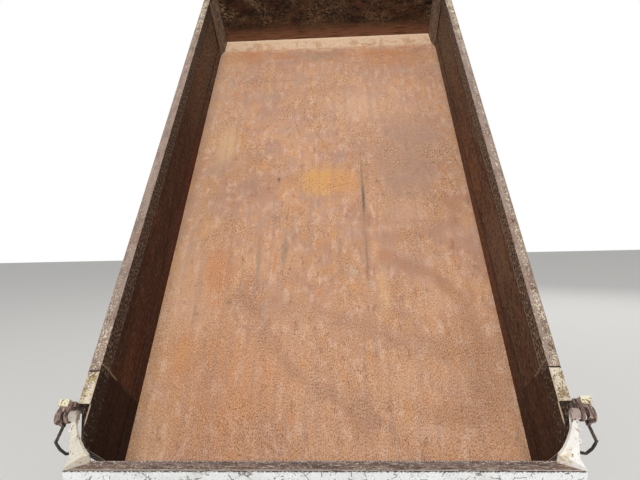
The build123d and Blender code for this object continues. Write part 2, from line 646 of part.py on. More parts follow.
def rope_hooks():
    """Flat hooks under the right side sill, open towards the rear."""
    hooks = []
    x = HALF_OUTER - SIDE_SILL_WIDTH / 2 - HOOK_PLATE / 2
    bend = CROSS_LOW - HOOK_DROP + HOOK_RADIUS
    rear, front = HOOK_SHANK
    for y in HOOK_PLACES:
        ring = disc(y, bend, HOOK_RADIUS) - disc(y, bend, HOOK_BORE)
        lower_half = outline((y - HOOK_RADIUS, bend), (y + HOOK_RADIUS, bend),
                             (y + HOOK_RADIUS, bend - HOOK_RADIUS), (y - HOOK_RADIUS, bend - HOOK_RADIUS))
        shank = outline((y + rear, CROSS_LOW), (y + front, CROSS_LOW),
                        (y + HOOK_RADIUS, bend), (y + HOOK_BORE, bend))
        hooks.append(across((ring & lower_half) + shank, x, x + HOOK_PLATE))
    return Compound(hooks)


def bed_nodes():
    pairs = {"side_wall": side_wall(), "top_rail": top_rail(), "wall_stakes": wall_stakes(),
             "rear_post": rear_post(), "side_sill": side_sill(), "long_sill": long_sill(),
             "corner_plate": corner_plate(), "pin_keeper": pin_keeper(), "keeper_chain": keeper_chain(),
             "rope_hooks": rope_hooks()}
    nodes = {"floor_plate": floor_plate(), "bed_cross_members": cross_members(), "rear_sill": rear_sill(),
             "bed_hinge_ears": bed_hinge_ears(), "hoist_ears": hoist_ears(), "headboard": headboard(),
             "headboard_ribs": headboard_ribs(), "headboard_rails": headboard_rails(),
             "fillet_plate": fillet_plate(), "cab_guard": cab_guard()}
    for name, part in pairs.items():
        nodes["right_" + name] = part
        nodes["left_" + name] = mirrored(part)
    return nodes


# Tailgate

def gate_panel():
    """The tailgate's inner sheet."""
    return block(-GATE_HALF_WIDTH, GATE_HALF_WIDTH, GATE_SHEET_BACK, GATE_INNER, GATE_BOTTOM, GATE_TOP)


def gate_box(z0, z1):
    """A hollow box across the tailgate's outer side, open towards the sheet."""
    box = block(-GATE_HALF_WIDTH, GATE_HALF_WIDTH, GATE_OUTER, GATE_SHEET_BACK, z0, z1)
    inside = GATE_HALF_WIDTH - GATE_SHEET
    return box - block(-inside, inside, GATE_OUTER + GATE_SHEET, GATE_SHEET_BACK + CUT,
                       z0 + GATE_SHEET, z1 - GATE_SHEET)


def gate_ends():
    """Channels up the tailgate's two ends, open towards its middle."""
    low, high = GATE_BOTTOM + GATE_SILL_DEPTH, GATE_TOP - GATE_RAIL_DEPTH
    inner = GATE_HALF_WIDTH - GATE_SILL_DEPTH
    end = block(inner, GATE_HALF_WIDTH, GATE_OUTER, GATE_SHEET_BACK, low, high)
    end -= block(inner - CUT, GATE_HALF_WIDTH - GATE_SHEET, GATE_OUTER + GATE_SHEET, GATE_SHEET_BACK + CUT,
                 low - CUT, high + CUT)
    return Compound([end, mirrored(end)])


def gate_ribs():
    """Pressed ribs on the tailgate's outer side."""
    ribs = []
    for x in GATE_RIB_PLACES:
        outer, inner = pressed(x, GATE_RIB_WIDTH, GATE_SHEET_BACK, GATE_OUTER, GATE_SHEET)
        ribs.append(upright(outline(*outer) - outline(*inner),
                            GATE_BOTTOM + GATE_SILL_DEPTH, GATE_TOP - GATE_RAIL_DEPTH))
    return Compound(ribs)


def arm_side(boss, step):
    """The hinge arm's side view, with its rear face set back by a step."""
    return wrapped(disc(GATE_PIN_Y, GATE_PIN_Z, boss),
                   outline((GATE_OUTER + step, GATE_TOP), (GATE_SHEET_BACK, GATE_TOP),
                           (GATE_OUTER + step, GATE_TOP + ARM_TOE)))


def arm_face():
    """The right hinge arm from behind, drawn as (x, z)."""
    neck = ARM_OUTER - ARM_WIDTH - ARM_NECK
    foot, low, top = ARM_FOOT_INNER, ARM_FOOT_TOP, GATE_PIN_Z + ARM_BOSS
    sides = Polyline((neck, GATE_PIN_Z), (neck, top), (ARM_OUTER, top), (ARM_OUTER, GATE_PIN_Z),
                     (ARM_WAIST, GATE_TOP + ARM_GUSSET_HEIGHT), (ARM_OUTER, GATE_TOP),
                     (foot, GATE_TOP), (foot, low))
    rise, run = GATE_PIN_Z - low, neck - foot
    bow = ARM_CURVE / math.hypot(rise, run)
    curve = ThreePointArc((foot, low), ((foot + neck) / 2 + bow * rise, (low + GATE_PIN_Z) / 2 - bow * run),
                          (neck, GATE_PIN_Z))
    return make_face((sides + curve).edges())


def forward_from_gate(sketch):
    """A rear-view outline made solid from the tailgate's outer face to beyond the pin."""
    return extrude(Plane.XZ.offset(-GATE_OUTER) * sketch, amount=GATE_OUTER - GATE_PIN_Y - ARM_BOSS)


def hinge_arm():
    """The right hinge arm: a bar up to the pin, with a wide web and a flared foot behind it."""
    rear, front = GATE_OUTER, GATE_SHEET_BACK
    behind = rear - CUT
    foot, low, gusset = ARM_FOOT_INNER, ARM_FOOT_TOP, GATE_TOP + ARM_GUSSET_HEIGHT
    side = arm_side(ARM_BOSS, 0)
    web = outline((behind, arm_back(behind, ARM_WEB)), (GATE_PIN_Y, arm_back(GATE_PIN_Y, ARM_WEB)),
                  (behind, arm_back(GATE_PIN_Y, ARM_WEB)))
    wedge = outline((rear, GATE_TOP), (front, GATE_TOP), (front, low), (rear, low))
    bent = across(side, ARM_OUTER - ARM_WIDTH, ARM_OUTER) + across(side & web, foot, ARM_OUTER)
    bent += across(side & wedge, foot, ARM_OUTER)
    arm = bent & forward_from_gate(arm_face())
    strip = outline((ARM_OUTER - ARM_FLANK, GATE_PIN_Z), (ARM_OUTER + CUT, GATE_PIN_Z),
                    (ARM_OUTER + CUT, gusset), (ARM_WAIST - ARM_FLANK, gusset))
    arm -= across(side - arm_side(ARM_BOSS - ARM_STEP, ARM_STEP), foot, ARM_OUTER) & forward_from_gate(strip)
    arm -= upright(outline((foot - CUT, behind), (ARM_OUTER - CUT, behind), (foot - CUT, front - ARM_TOE / 2)),
                   GATE_TOP, low)
    arm += spindle(GATE_PIN_Y, GATE_PIN_Z, ARM_BOSS, ARM_OUTER - ARM_WIDTH, ARM_OUTER + ARM_BOSS_PROUD)
    return arm + spindle(GATE_PIN_Y, GATE_PIN_Z, GATE_PIN, ARM_OUTER, CHEEK_OUTER + PIN_END)


def strikers():
    """A pin between two cheeks, under each end of the tailgate."""
    cheek = wrapped(disc(STRIKER_Y, STRIKER_Z, STRIKER_PIN + STRIKER_WALL),
                    outline((STRIKER_Y - STRIKER_FOOT, GATE_BOTTOM), (STRIKER_Y + STRIKER_FOOT, GATE_BOTTOM),
                            (STRIKER_Y, STRIKER_Z)))
    inner = LATCH_HOOK_X - SIDE_GAP - STRIKER_CHEEK
    outer = LATCH_HOOK_X + LATCH_HOOK_PLATE + SIDE_GAP
    striker = across(cheek, inner, inner + STRIKER_CHEEK) + across(cheek, outer, outer + STRIKER_CHEEK)
    striker += spindle(STRIKER_Y, STRIKER_Z, STRIKER_PIN, inner, outer + STRIKER_CHEEK)
    return Compound([striker, mirrored(striker)])


def gate_nodes():
    arm = hinge_arm()
    return {"tailgate_panel": gate_panel(), "tailgate_ribs": gate_ribs(), "tailgate_ends": gate_ends(),
            "tailgate_top_rail": gate_box(GATE_TOP - GATE_RAIL_DEPTH, GATE_TOP),
            "tailgate_foot_rail": gate_box(GATE_BOTTOM, GATE_BOTTOM + GATE_SILL_DEPTH),
            "right_hinge_arm": arm, "left_hinge_arm": mirrored(arm), "tailgate_strikers": strikers()}


# Latch, drawn closed

def latch_hooks():
    """Two hooks that catch the strikers, open at the top."""
    slot = STRIKER_PIN + LATCH_SLOT_FIT
    reach = disc(STRIKER_Y, STRIKER_Z, slot)
    body = wrapped(disc(LATCH_Y, LATCH_Z, LATCH_SHAFT + LATCH_BOSS_WALL),
                   disc(STRIKER_Y - 4, STRIKER_Z - 6, LATCH_HOOK_TIP))
    under = CROSS_LOW - SIDE_GAP
    body -= outline((-8, under), (2 * LATCH_Y, under), (2 * LATCH_Y, 0), (-8, 0))
    mouth = outline((STRIKER_Y - slot, STRIKER_Z), (STRIKER_Y + slot, STRIKER_Z),
                    (STRIKER_Y + 4 * slot, GATE_BOTTOM), (STRIKER_Y - slot, GATE_BOTTOM))
    profile = body - reach - mouth - disc(LATCH_Y, LATCH_Z, LATCH_SHAFT + SEAT_FIT)
    hook = across(profile, LATCH_HOOK_X, LATCH_HOOK_X + LATCH_HOOK_PLATE)
    return Compound([hook, mirrored(hook)])


def latch_shaft():
    """The shaft across the bed, with the hand lever at its left end."""
    return spindle(LATCH_Y, LATCH_Z, LATCH_SHAFT, -LATCH_END, LATCH_END)


def latch_lever():
    """The hand lever, at the shaft's left end."""
    profile = wrapped(disc(LATCH_Y, LATCH_Z, LATCH_SHAFT + LEVER_BOSS_WALL),
                      disc(LATCH_Y + LEVER_REACH, LATCH_Z - LEVER_DROP, LEVER_END))
    return across(profile, -LATCH_END - LEVER_PLATE, -LATCH_END)


def latch_bearings():
    """Hangers under the side sills and the rear sill that carry the latch shaft."""
    web = wrapped(disc(LATCH_Y, LATCH_Z, LATCH_SHAFT + LATCH_BOSS_WALL),
                  outline((LATCH_Y - 30, CROSS_LOW), (REAR_SILL_WIDTH, CROSS_LOW), (LATCH_Y, LATCH_Z)))
    profile = web - disc(LATCH_Y, LATCH_Z, LATCH_SHAFT + PIN_FIT)
    hangers = []
    for x in (HANGER_INNER, LATCH_HOOK_X - HANGER_OUTER):
        hanger = across(profile, x, x + HANGER_PLATE)
        hangers += [hanger, mirrored(hanger)]
    return Compound(hangers)


# Subframe, drawn from the hinge axis along Y and from the ground

def sub_rail():
    """The right subframe rail, a channel with holes for the fishplates' bolts."""
    rail = channel_along(SUB_RAIL_OUTER, SUB_RAIL_INNER, SUB_REAR, SUB_FRONT, 0, SUB_RAIL_HEIGHT, SUB_RAIL_PLATE)
    return rail - bolt_holes()


def bolt_holes():
    """Four bolts through the rail at each fishplate."""
    holes = []
    middle = SUB_RAIL_HEIGHT / 2
    half = BOLT_SPACING / 2
    for y in FISHPLATE_PLACES:
        for dy in (-half, half):
            for dz in (-half, half):
                holes.append(spindle(y + dy, middle + dz, BOLT_HOLE, SUB_RAIL_WEB - CUT,
                                     SUB_RAIL_OUTER + FISHPLATE + CUT))
    return holes


def fishplates():
    """Plates on the right rail where it bolts to the chassis."""
    plates = []
    middle, half = SUB_RAIL_HEIGHT / 2, FISHPLATE_SIZE / 2
    for y in FISHPLATE_PLACES:
        plate = block(SUB_RAIL_OUTER, SUB_RAIL_OUTER + FISHPLATE, y - half, y + half,
                      middle - half, middle + half)
        plates.append(chamfer(plate.edges().filter_by(Axis.X), FISHPLATE_CORNER) - bolt_holes())
    return Compound(plates)


def sub_cross_members():
    """Channels between the subframe rails."""
    members = []
    end, plate = SUB_RAIL_WEB, SUB_RAIL_PLATE
    low, high = SUB_CROSS_LOW, SUB_CROSS_LOW + SUB_CROSS_DEPTH
    for y in SUB_CROSS_PLACES:
        rear, front = y - SUB_CROSS_WIDTH / 2, y + SUB_CROSS_WIDTH / 2
        member = block(-end, end, rear, front, low, high)
        member -= block(-end - CUT, end + CUT, rear + plate, front + CUT, low + plate, high - plate)
        members.append(member)
    return Compound(members)


def hinge_brackets():
    """Two plates on each rail, one each side of the bed's ear."""
    web = wrapped(disc(0, HINGE_HEIGHT, HINGE_BOSS),
                  outline((SUB_REAR, BRACKET_LOW), (BRACKET_FRONT, BRACKET_LOW),
                          (BRACKET_FRONT, SUB_RAIL_HEIGHT), (SUB_REAR, SUB_RAIL_HEIGHT)))
    web -= disc(0, HINGE_HEIGHT, HINGE_PIN + SEAT_FIT)
    inner = across(web, SUB_RAIL_INNER - BRACKET_PLATE, SUB_RAIL_INNER)
    outer = across(web, SUB_RAIL_OUTER, SUB_RAIL_OUTER + BRACKET_PLATE)
    return Compound([inner, outer, mirrored(inner), mirrored(outer)])


def hinge_pins():
    """The pins that the bed tips on, with a head at the outer end."""
    outer = SUB_RAIL_OUTER + BRACKET_PLATE
    pin = spindle(0, HINGE_HEIGHT, HINGE_PIN, SUB_RAIL_INNER - BRACKET_PLATE - PIN_END, outer)
    pin += spindle(0, HINGE_HEIGHT, HINGE_PIN + PIN_HEAD_LIP, outer, outer + PIN_HEAD)
    return Compound([pin, mirrored(pin)])


def rear_cross_tube():
    """The tube between the two inner hinge brackets, below the hinge axis."""
    end = SUB_RAIL_INNER - BRACKET_PLATE
    ring = disc(TIE_TUBE_AHEAD, TIE_TUBE_HEIGHT, TIE_TUBE)
    return across(ring - disc(TIE_TUBE_AHEAD, TIE_TUBE_HEIGHT, TIE_TUBE - TIE_TUBE_WALL), -end, end)


def hoist_cross_member():
    """The box between the rails that carries the hoist's lower ears."""
    end, plate = SUB_RAIL_WEB, SUB_RAIL_PLATE
    rear = HOIST_LOW_Y - HOIST_MEMBER_BEHIND
    face = rear + HOIST_MEMBER_WIDTH
    low, high = SUB_CROSS_LOW, SUB_RAIL_HEIGHT - HOIST_MEMBER_DROP
    member = block(-end, end, rear, face, low, high)
    member -= block(-end - CUT, end + CUT, rear + plate, face - plate, low + plate, high - plate)
    web = wrapped(disc(HOIST_LOW_Y, HOIST_LOW_HEIGHT, BASE_EYE),
                  outline((face, low + plate), (HOIST_LOW_Y, HOIST_LOW_HEIGHT), (face, high - plate)))
    web -= disc(HOIST_LOW_Y, HOIST_LOW_HEIGHT, HOIST_PIN + SEAT_FIT)
    ear = across(web, HOIST_LOW_EAR, HOIST_LOW_EAR + HOIST_EAR_PLATE)
    return member + ear + mirrored(ear)


def hoist_lower_pin():
    """The pin in the lower ears, with a head at its right end."""
    end = HOIST_LOW_EAR + HOIST_EAR_PLATE
    pin = spindle(HOIST_LOW_Y, HOIST_LOW_HEIGHT, HOIST_PIN, -end - LOW_PIN_PAST, end)
    return pin + spindle(HOIST_LOW_Y, HOIST_LOW_HEIGHT, HOIST_PIN + LOW_PIN_LIP, end, end + LOW_PIN_LIP)


def rest_pads():
    """Rubber blocks on the rails that the bed's sills come down on."""
    pads = []
    for y in PAD_PLACES:
        pad = block(SILL_INNER + PAD_INSET, SILL_OUTER - PAD_INSET, y - PAD_LENGTH / 2, y + PAD_LENGTH / 2,
                    SUB_RAIL_HEIGHT, SUB_RAIL_HEIGHT + PAD - PAD_GAP)
        pads += [pad, mirrored(pad)]
    return Compound(pads)


def subframe_nodes():
    return {"right_subframe_rail": sub_rail(), "left_subframe_rail": mirrored(sub_rail()),
            "right_fishplates": fishplates(), "left_fishplates": mirrored(fishplates()),
            "subframe_cross_members": sub_cross_members(), "hinge_brackets": hinge_brackets(),
            "hinge_pins": hinge_pins(), "rear_cross_tube": rear_cross_tube(),
            "hoist_cross_member": hoist_cross_member(), "hoist_lower_pin": hoist_lower_pin(),
            "rest_pads": rest_pads()}


# Hoist, drawn along +Y from its lower pin

def hoist_geometry(tip):
    """Length and angle of the hoist between its pins, with the bed tipped by tip degrees."""
    a = math.radians(tip)
    y = HOIST_HIGH_Y * math.cos(a) - HOIST_HIGH_Z * math.sin(a) - HOIST_LOW_Y
    z = HOIST_HIGH_Y * math.sin(a) + HOIST_HIGH_Z * math.cos(a) - HOIST_LOW_Z
    return math.hypot(y, z), math.degrees(math.atan2(z, y))


HOIST_LENGTH_UP, HOIST_ANGLE_UP = hoist_geometry(TIP_ANGLE)
HOIST_LENGTH_DOWN, HOIST_ANGLE_DOWN = hoist_geometry(0)


def along(radius, y0, y1, bore=0):
    """A round bar or tube along Y."""
    bar = Pos(0, (y0 + y1) / 2, 0) * Rot(90, 0, 0) * Cylinder(radius, y1 - y0)
    if bore:
        bar -= Pos(0, (y0 + y1) / 2, 0) * Rot(90, 0, 0) * Cylinder(bore, y1 - y0 + 2)
    return bar


def hoist_barrel():
    """The barrel with its base cap and eye."""
    barrel = along(BARREL, BARREL_START, BARREL_END, BARREL - BARREL_WALL)
    barrel += along(BARREL, BARREL_START, BARREL_START + BARREL_CAP)
    eye = wrapped(disc(0, 0, BASE_EYE), outline((0, 0), (BARREL_START, -ROD), (BARREL_START, ROD)))
    barrel += across(eye, -BASE_HALF_WIDTH, BASE_HALF_WIDTH)
    return barrel - spindle(0, 0, HOIST_PIN + PIN_FIT, -BASE_HALF_WIDTH - CUT, BASE_HALF_WIDTH + CUT)


def hoist_gland():
    """The screwed head that guides the rod."""
    gland = along(BARREL + GLAND_LIP, BARREL_END, BARREL_END + GLAND_LENGTH, ROD + PIN_FIT)
    return chamfer(gland.edges().filter_by(GeomType.CIRCLE).sort_by(Axis.Y)[-1], GLAND_CHAMFER)


def hoist_rod():
    """The rod, drawn with the bed up."""
    return along(ROD, BARREL_END - ROD_ENGAGED, HOIST_LENGTH_UP - EYE + EYE_SOCKET)


def hoist_rod_eye():
    """The eye at the rod's end, with the pin that it carries."""
    y = HOIST_LENGTH_UP
    neck = y - EYE - EYE_NECK
    eye = wrapped(disc(y, 0, EYE), outline((neck, -ROD - 4), (neck, ROD + 4), (y, 0)))
    body = across(eye, -EYE_HALF_WIDTH, EYE_HALF_WIDTH) - along(ROD, neck - CUT, y - EYE + EYE_SOCKET)
    return body + spindle(y, 0, HOIST_PIN, -EYE_HALF_WIDTH - EYE_PIN_PAST, EYE_HALF_WIDTH + EYE_PIN_PAST)


def feed_pipe():
    """The steel pipe along the barrel's upper side, with a union block at each end."""
    height = BARREL + FEED_PIPE + FEED_PIPE_OFF
    start, end = BARREL_START + UNION_IN, BARREL_END - UNION_IN
    pipe = Pos(0, 0, height) * along(FEED_PIPE, start + UNION, end - UNION)
    for y in (start, end):
        pipe += block(-UNION, UNION, y - UNION, y + UNION, BARREL - UNION / 2, height + UNION)
    return pipe - along(BARREL + UNION_FIT, start - 2 * UNION, end + 2 * UNION)


def hoist_nodes():
    nodes = {"hoist_barrel": hoist_barrel(), "hoist_gland": hoist_gland(), "hoist_pipe": feed_pipe(),
             "hoist_rod": hoist_rod(), "hoist_rod_eye": hoist_rod_eye()}
    place = Pos(0, HOIST_LOW_Y, HOIST_LOW_HEIGHT) * Rot(HOIST_ANGLE_UP, 0, 0)
    return {name: place * part for name, part in nodes.items()}


def assembly():
    """Every node in its place, with the origin on the ground at the middle of the whole."""
    nodes = subframe_nodes()
    nodes.update(hoist_nodes())
    bed = bed_nodes()
    bed["latch_bearings"] = latch_bearings()
    for name, part in gate_nodes().items():
        bed[name] = turned(part, GATE_PIN_Y, GATE_PIN_Z, -GATE_SWING)
    for name, part in {"latch_hooks": latch_hooks(), "latch_shaft": latch_shaft(),
                       "latch_lever": latch_lever()}.items():
        bed[name] = turned(part, LATCH_Y, LATCH_Z, LATCH_DROP)
    for name, part in bed.items():
        nodes[name] = tipped(part)
    boxes = [part.bounding_box() for part in nodes.values()]
    middle = (min(b.min.Y for b in boxes) + max(b.max.Y for b in boxes)) / 2
    return {name: Pos(0, -middle, 0) * part for name, part in nodes.items()}, middle


NODES, MIDDLE = assembly()
os.makedirs("parts", exist_ok=True)
for node_name, node_part in NODES.items():
    export_step(node_part, f"parts/{node_name}.step")
print(len(NODES), "nodes, middle", round(MIDDLE, 3))
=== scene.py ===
import json
import math
import bpy
from mathutils import Matrix, Vector


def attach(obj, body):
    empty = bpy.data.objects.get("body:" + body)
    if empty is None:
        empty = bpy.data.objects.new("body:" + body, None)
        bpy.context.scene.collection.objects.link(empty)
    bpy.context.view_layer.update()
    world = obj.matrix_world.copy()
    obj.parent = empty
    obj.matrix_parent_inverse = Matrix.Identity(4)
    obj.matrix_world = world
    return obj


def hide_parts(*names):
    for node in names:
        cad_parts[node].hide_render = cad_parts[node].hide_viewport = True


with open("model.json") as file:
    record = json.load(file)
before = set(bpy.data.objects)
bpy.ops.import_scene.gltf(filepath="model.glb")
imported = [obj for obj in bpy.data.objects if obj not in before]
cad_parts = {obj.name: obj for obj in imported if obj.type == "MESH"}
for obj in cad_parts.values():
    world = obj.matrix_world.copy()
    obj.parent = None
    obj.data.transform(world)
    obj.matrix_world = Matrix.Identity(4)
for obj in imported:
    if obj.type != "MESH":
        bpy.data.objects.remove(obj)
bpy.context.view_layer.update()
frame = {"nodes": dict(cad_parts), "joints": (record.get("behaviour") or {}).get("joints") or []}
NODES = frame["nodes"]
JOINTS = {joint["name"]: joint for joint in frame["joints"]}

# Places. Lengths are millimetres, as on the drawings, and a matrix takes each group to its place in metres.
# Bed axes: x to the right seen from behind, y forward from the rear edge of the floor, z up from the floor.
MM = 0.001
HINGE_AHEAD = 130         # tipping axis ahead of the floor's rear edge
HINGE_BELOW = 140         # and below the floor's top
GATE_PIN_Y = 82           # tailgate's pins, in bed axes
GATE_PIN_Z = 415

# Sizes of the bed
HALF_INNER = 800
HALF_OUTER = 842
FLOOR = 4.5
WALL_OUTER = 807.7        # outer face of the wall's sheet
TURN_UP = 72              # floor plate's turned-up sides
BED_LENGTH = 3010
WALL_HEIGHT = 398
RAIL_LOW = 314
CROSS_LOW = -74.5
HEAD_HEIGHT = 560
CAP_FRONT = 250           # seam in the top rail
CAP_REAR = 130
PLATE_SEAM = 270          # weld between the wall and its rear corner plate
FILLET_REACH = 50
GATE_OUTER = -48          # tailgate's outer face, closed
GATE_INNER = -5
GATE_TOP = 305
GATE_RIB_WIDTH = 70
GATE_RIB_COUNT = 4
GATE_RIB_LOW = 6
GATE_RIB_HIGH = 244
GATE_RIB_X = 570          # outermost ribs
SHEET = 3.2
STAKE_WIDTH = 62
STAKE_COUNT = 7
STAKE_FIRST = 430
STAKE_LAST = BED_LENGTH - 35
CROSS_WIDTH = 50
CROSS_PLACES = [150 + 2830 * i / 9 for i in range(10) if i != 6] + [1985, 2075]
SILL_INNER_FACE = HALF_OUTER - 50
LONG_SILL = 375
HEAD_RIB_WIDTH = 60
HEAD_RIB_COUNT = 5
HEAD_RIB_X = 640
HEAD_RAIL = 50

# Sizes of the subframe and hoist
SUB_WEB = 374             # inner faces of the rails' webs
SUB_CROSS_LOW = 15
SUB_CROSS_DEPTH = 80
SUB_CROSS_PLACES = [170, 1350, 2070, 2790]
ROD_EYE = 1681.8          # from the hoist's lower pin


def placed(point, angle, pivot):
    """A matrix that takes millimetres about a pivot, turned by an angle, to metres at a point."""
    turn = Matrix.Rotation(angle, 4, "X")
    return Matrix.Translation(point) @ turn @ Matrix.Scale(MM, 4) @ Matrix.Translation(-Vector(pivot))


TIP = -math.radians(JOINTS["bed_tip"]["range_deg"][0])
SWING = -math.radians(JOINTS["tailgate_swing"]["range_deg"][0])
HINGE = Vector(JOINTS["bed_tip"]["pos_m"])
HOIST_PIN = Vector(JOINTS["hoist_swing"]["pos_m"])
HOIST_AXIS = Vector(JOINTS["rod_slide"]["axis"])
HOIST_TURN = math.atan2(HOIST_AXIS.z, HOIST_AXIS.y)
BED = placed(HINGE, TIP, (0, HINGE_AHEAD, -HINGE_BELOW))
GATE = placed(Vector(JOINTS["tailgate_swing"]["pos_m"]), TIP - SWING, (0, GATE_PIN_Y, GATE_PIN_Z))
SUBFRAME = placed(Vector((0, HINGE.y, 0)), 0, (0, 0, 0))
HOIST = placed(HOIST_PIN, HOIST_TURN, (0, 0, 0))


def linear(colour):
    """A hex sRGB colour as linear red, green, blue and alpha."""
    parts = [int(colour[i:i + 2], 16) / 255 for i in (1, 3, 5)]
    return tuple(c / 12.92 if c <= 0.04045 else ((c + 0.055) / 1.055) ** 2.4 for c in parts) + (1.0,)


def per(size):
    """Pattern scale, in repeats per metre, for a feature of so many millimetres."""
    return 1 / (size * MM)


def add(tree, kind, inputs=None, **settings):
    """Adds a node. Inputs are given by name or number, as values, colours in hex, nodes or sockets. A range
    is eased, so that it limits itself: a clamp of its own after each mask would overfill the shader."""
    if tree.bl_idname == "ShaderNodeTree":
        kind = "ShaderNode" + kind
    node = tree.nodes.new(kind)
    if kind == "ShaderNodeMapRange":
        node.interpolation_type = "SMOOTHSTEP"
        node.clamp = False
    for name, value in settings.items():
        setattr(node, name, value)
    for key, value in (inputs or {}).items():
        if isinstance(key, int):
            socket = node.inputs[key]
        else:
            socket = next(s for s in node.inputs if s.enabled and s.name == key)
        if isinstance(value, bpy.types.Node):
            value = next(s for s in value.outputs if s.enabled)
        if isinstance(value, bpy.types.NodeSocket):
            tree.links.new(value, socket)
        else:
            socket.default_value = linear(value) if str(value).startswith("#") else value
    return node


# Patterns

def axes(tree, matrix, angle):
    """Object coordinates in metres, in the axes of the bed, tailgate, subframe or hoist."""
    coords = add(tree, "TexCoord").outputs["Object"]
    return add(tree, "Mapping", {"Vector": coords, "Location": matrix @ Vector((0, 0, 0)),
                                 "Rotation": (angle, 0, 0)}, vector_type="TEXTURE")


def warped(tree, at, size, reach):
    """Coordinates pushed about, for edges that wander."""
    push = add(tree, "TexNoise", {"Vector": at, "Scale": per(size), "Detail": 3.0})
    centred = add(tree, "VectorMath", {0: push.outputs["Color"], 1: (0.5, 0.5, 0.5)}, operation="SUBTRACT")
    return add(tree, "VectorMath", {0: centred, 1: (reach * MM,) * 3, 2: at}, operation="MULTIPLY_ADD")


def stretched(tree, at, x, y, z):
    """Coordinates in repeats per metre along each axis."""
    return add(tree, "VectorMath", {0: at, 1: (per(x), per(y), per(z))}, operation="MULTIPLY")


def blotches(tree, at, size, low, high, detail=4.0, roughness=0.55, strength=1.0):
    """A strength where a noise is over high, and 0 under low. A size may be one length or three."""
    if isinstance(size, tuple):
        at, size = stretched(tree, at, *size), 1 / MM
    noise = add(tree, "TexNoise", {"Vector": at, "Scale": per(size), "Detail": detail,
                                   "Roughness": roughness})
    return add(tree, "MapRange", {"Value": noise, "From Min": low, "From Max": high, "To Max": strength})


def marks(tree, at, colour, table):
    """Soft oval marks: each row is a colour, a strength and the ovals that are laid on with them as one, each
    with its x, y, half width, half length and turn in degrees."""
    for paint, strength, ovals in table:
        spots = []
        for x, y, wide, long, turn in ovals:
            local = add(tree, "Mapping", {"Vector": at, "Location": (x * MM, y * MM, 0),
                                          "Rotation": (0, 0, math.radians(turn)),
                                          "Scale": (wide * MM, long * MM, 1)}, vector_type="TEXTURE")
            reach = add(tree, "VectorMath", {0: local}, operation="LENGTH").outputs["Value"]
            spots.append(add(tree, "MapRange", {"Value": reach, "From Min": 1.0, "From Max": 0.25,
                                                "To Max": strength}))
        colour = tint(tree, either(tree, *spots), colour, paint)
    return colour


def stripe(tree, value, middle, half, soft):
    """1 within half of the middle, and 0 past a soft edge, all in millimetres."""
    off = add(tree, "Math", {0: value, 1: middle * MM}, operation="SUBTRACT")
    size = add(tree, "Math", {0: off}, operation="ABSOLUTE")
    return add(tree, "MapRange", {"Value": size, "From Min": (half + soft) * MM, "From Max": half * MM})


def beyond(tree, value, limit, soft, strength=1.0):
    """A strength past the limit and 0 before it, in millimetres. A negative soft turns it round."""
    return add(tree, "MapRange", {"Value": value, "From Min": (limit - soft) * MM,
                                  "From Max": (limit + soft) * MM, "To Max": strength})


def product(tree, *factors):
    """Masks multiplied together."""
    result = factors[0]
    for factor in factors[1:]:
        result = add(tree, "Math", {0: result, 1: factor}, operation="MULTIPLY")
    return result


def either(tree, *masks):
    """The largest of several masks."""
    result = masks[0]
    for mask in masks[1:]:
        result = add(tree, "Math", {0: result, 1: mask}, operation="MAXIMUM")
    return result


def tint(tree, factor, under, over, mode="MIX"):
    """One colour over another where the factor is 1. Several factors are multiplied together."""
    if isinstance(factor, tuple):
        factor = product(tree, *factor)
    return add(tree, "Mix", {"Factor": factor, "A": under, "B": over}, data_type="RGBA", blend_type=mode)


def layered(tree, colour, *layers):
    """Colours laid over one another: each layer is a factor or factors, a colour and, if need be, a mode."""
    for factor, paint, *mode in layers:
        colour = tint(tree, factor, colour, paint, *mode)
    return colour


# A finish is its colour, its roughness and the height of its surface in metres.

def coloured(tree, finish, *layers):
    """A finish with more colours laid over its own."""
    return layered(tree, finish[0], *layers), finish[1], finish[2]


def blended(tree, factor, under, over):
    """One finish over another where the factor is 1."""
    colour = tint(tree, factor, under[0], over[0])
    roughness = add(tree, "Mix", {"Factor": factor, "A": under[1], "B": over[1]})
    height = add(tree, "Mix", {"Factor": factor, "A": under[2], "B": over[2]})
    return colour, roughness, height


def grained(tree, colour, grain, smooth, rough, depth):
    """A finish whose roughness runs between two values, and its height over a depth in millimetres, as a
    grain goes from 0 to 1."""
    roughness = add(tree, "MapRange", {"Value": grain, "To Min": smooth, "To Max": rough})
    return colour, roughness, add(tree, "Math", {0: grain, 1: depth * MM}, operation="MULTIPLY")


def material(name, finish_of, place, metallic, specular):
    """A material whose finish is worked out by a function from the axes of the pieces that wear it."""
    made = bpy.data.materials.new(name)
    made.use_nodes = True
    tree = made.node_tree
    tree.nodes.clear()
    colour, roughness, height = finish_of(tree, axes(tree, *place))
    bump = add(tree, "Bump", {"Height": height, "Strength": 1.0, "Distance": 1.0})
    surface = add(tree, "BsdfPrincipled", {"Base Color": colour, "Roughness": roughness, "Normal": bump,
                                           "Metallic": metallic, "Specular IOR Level": specular})
    add(tree, "OutputMaterial", {"Surface": surface})
    return made


# Finishes

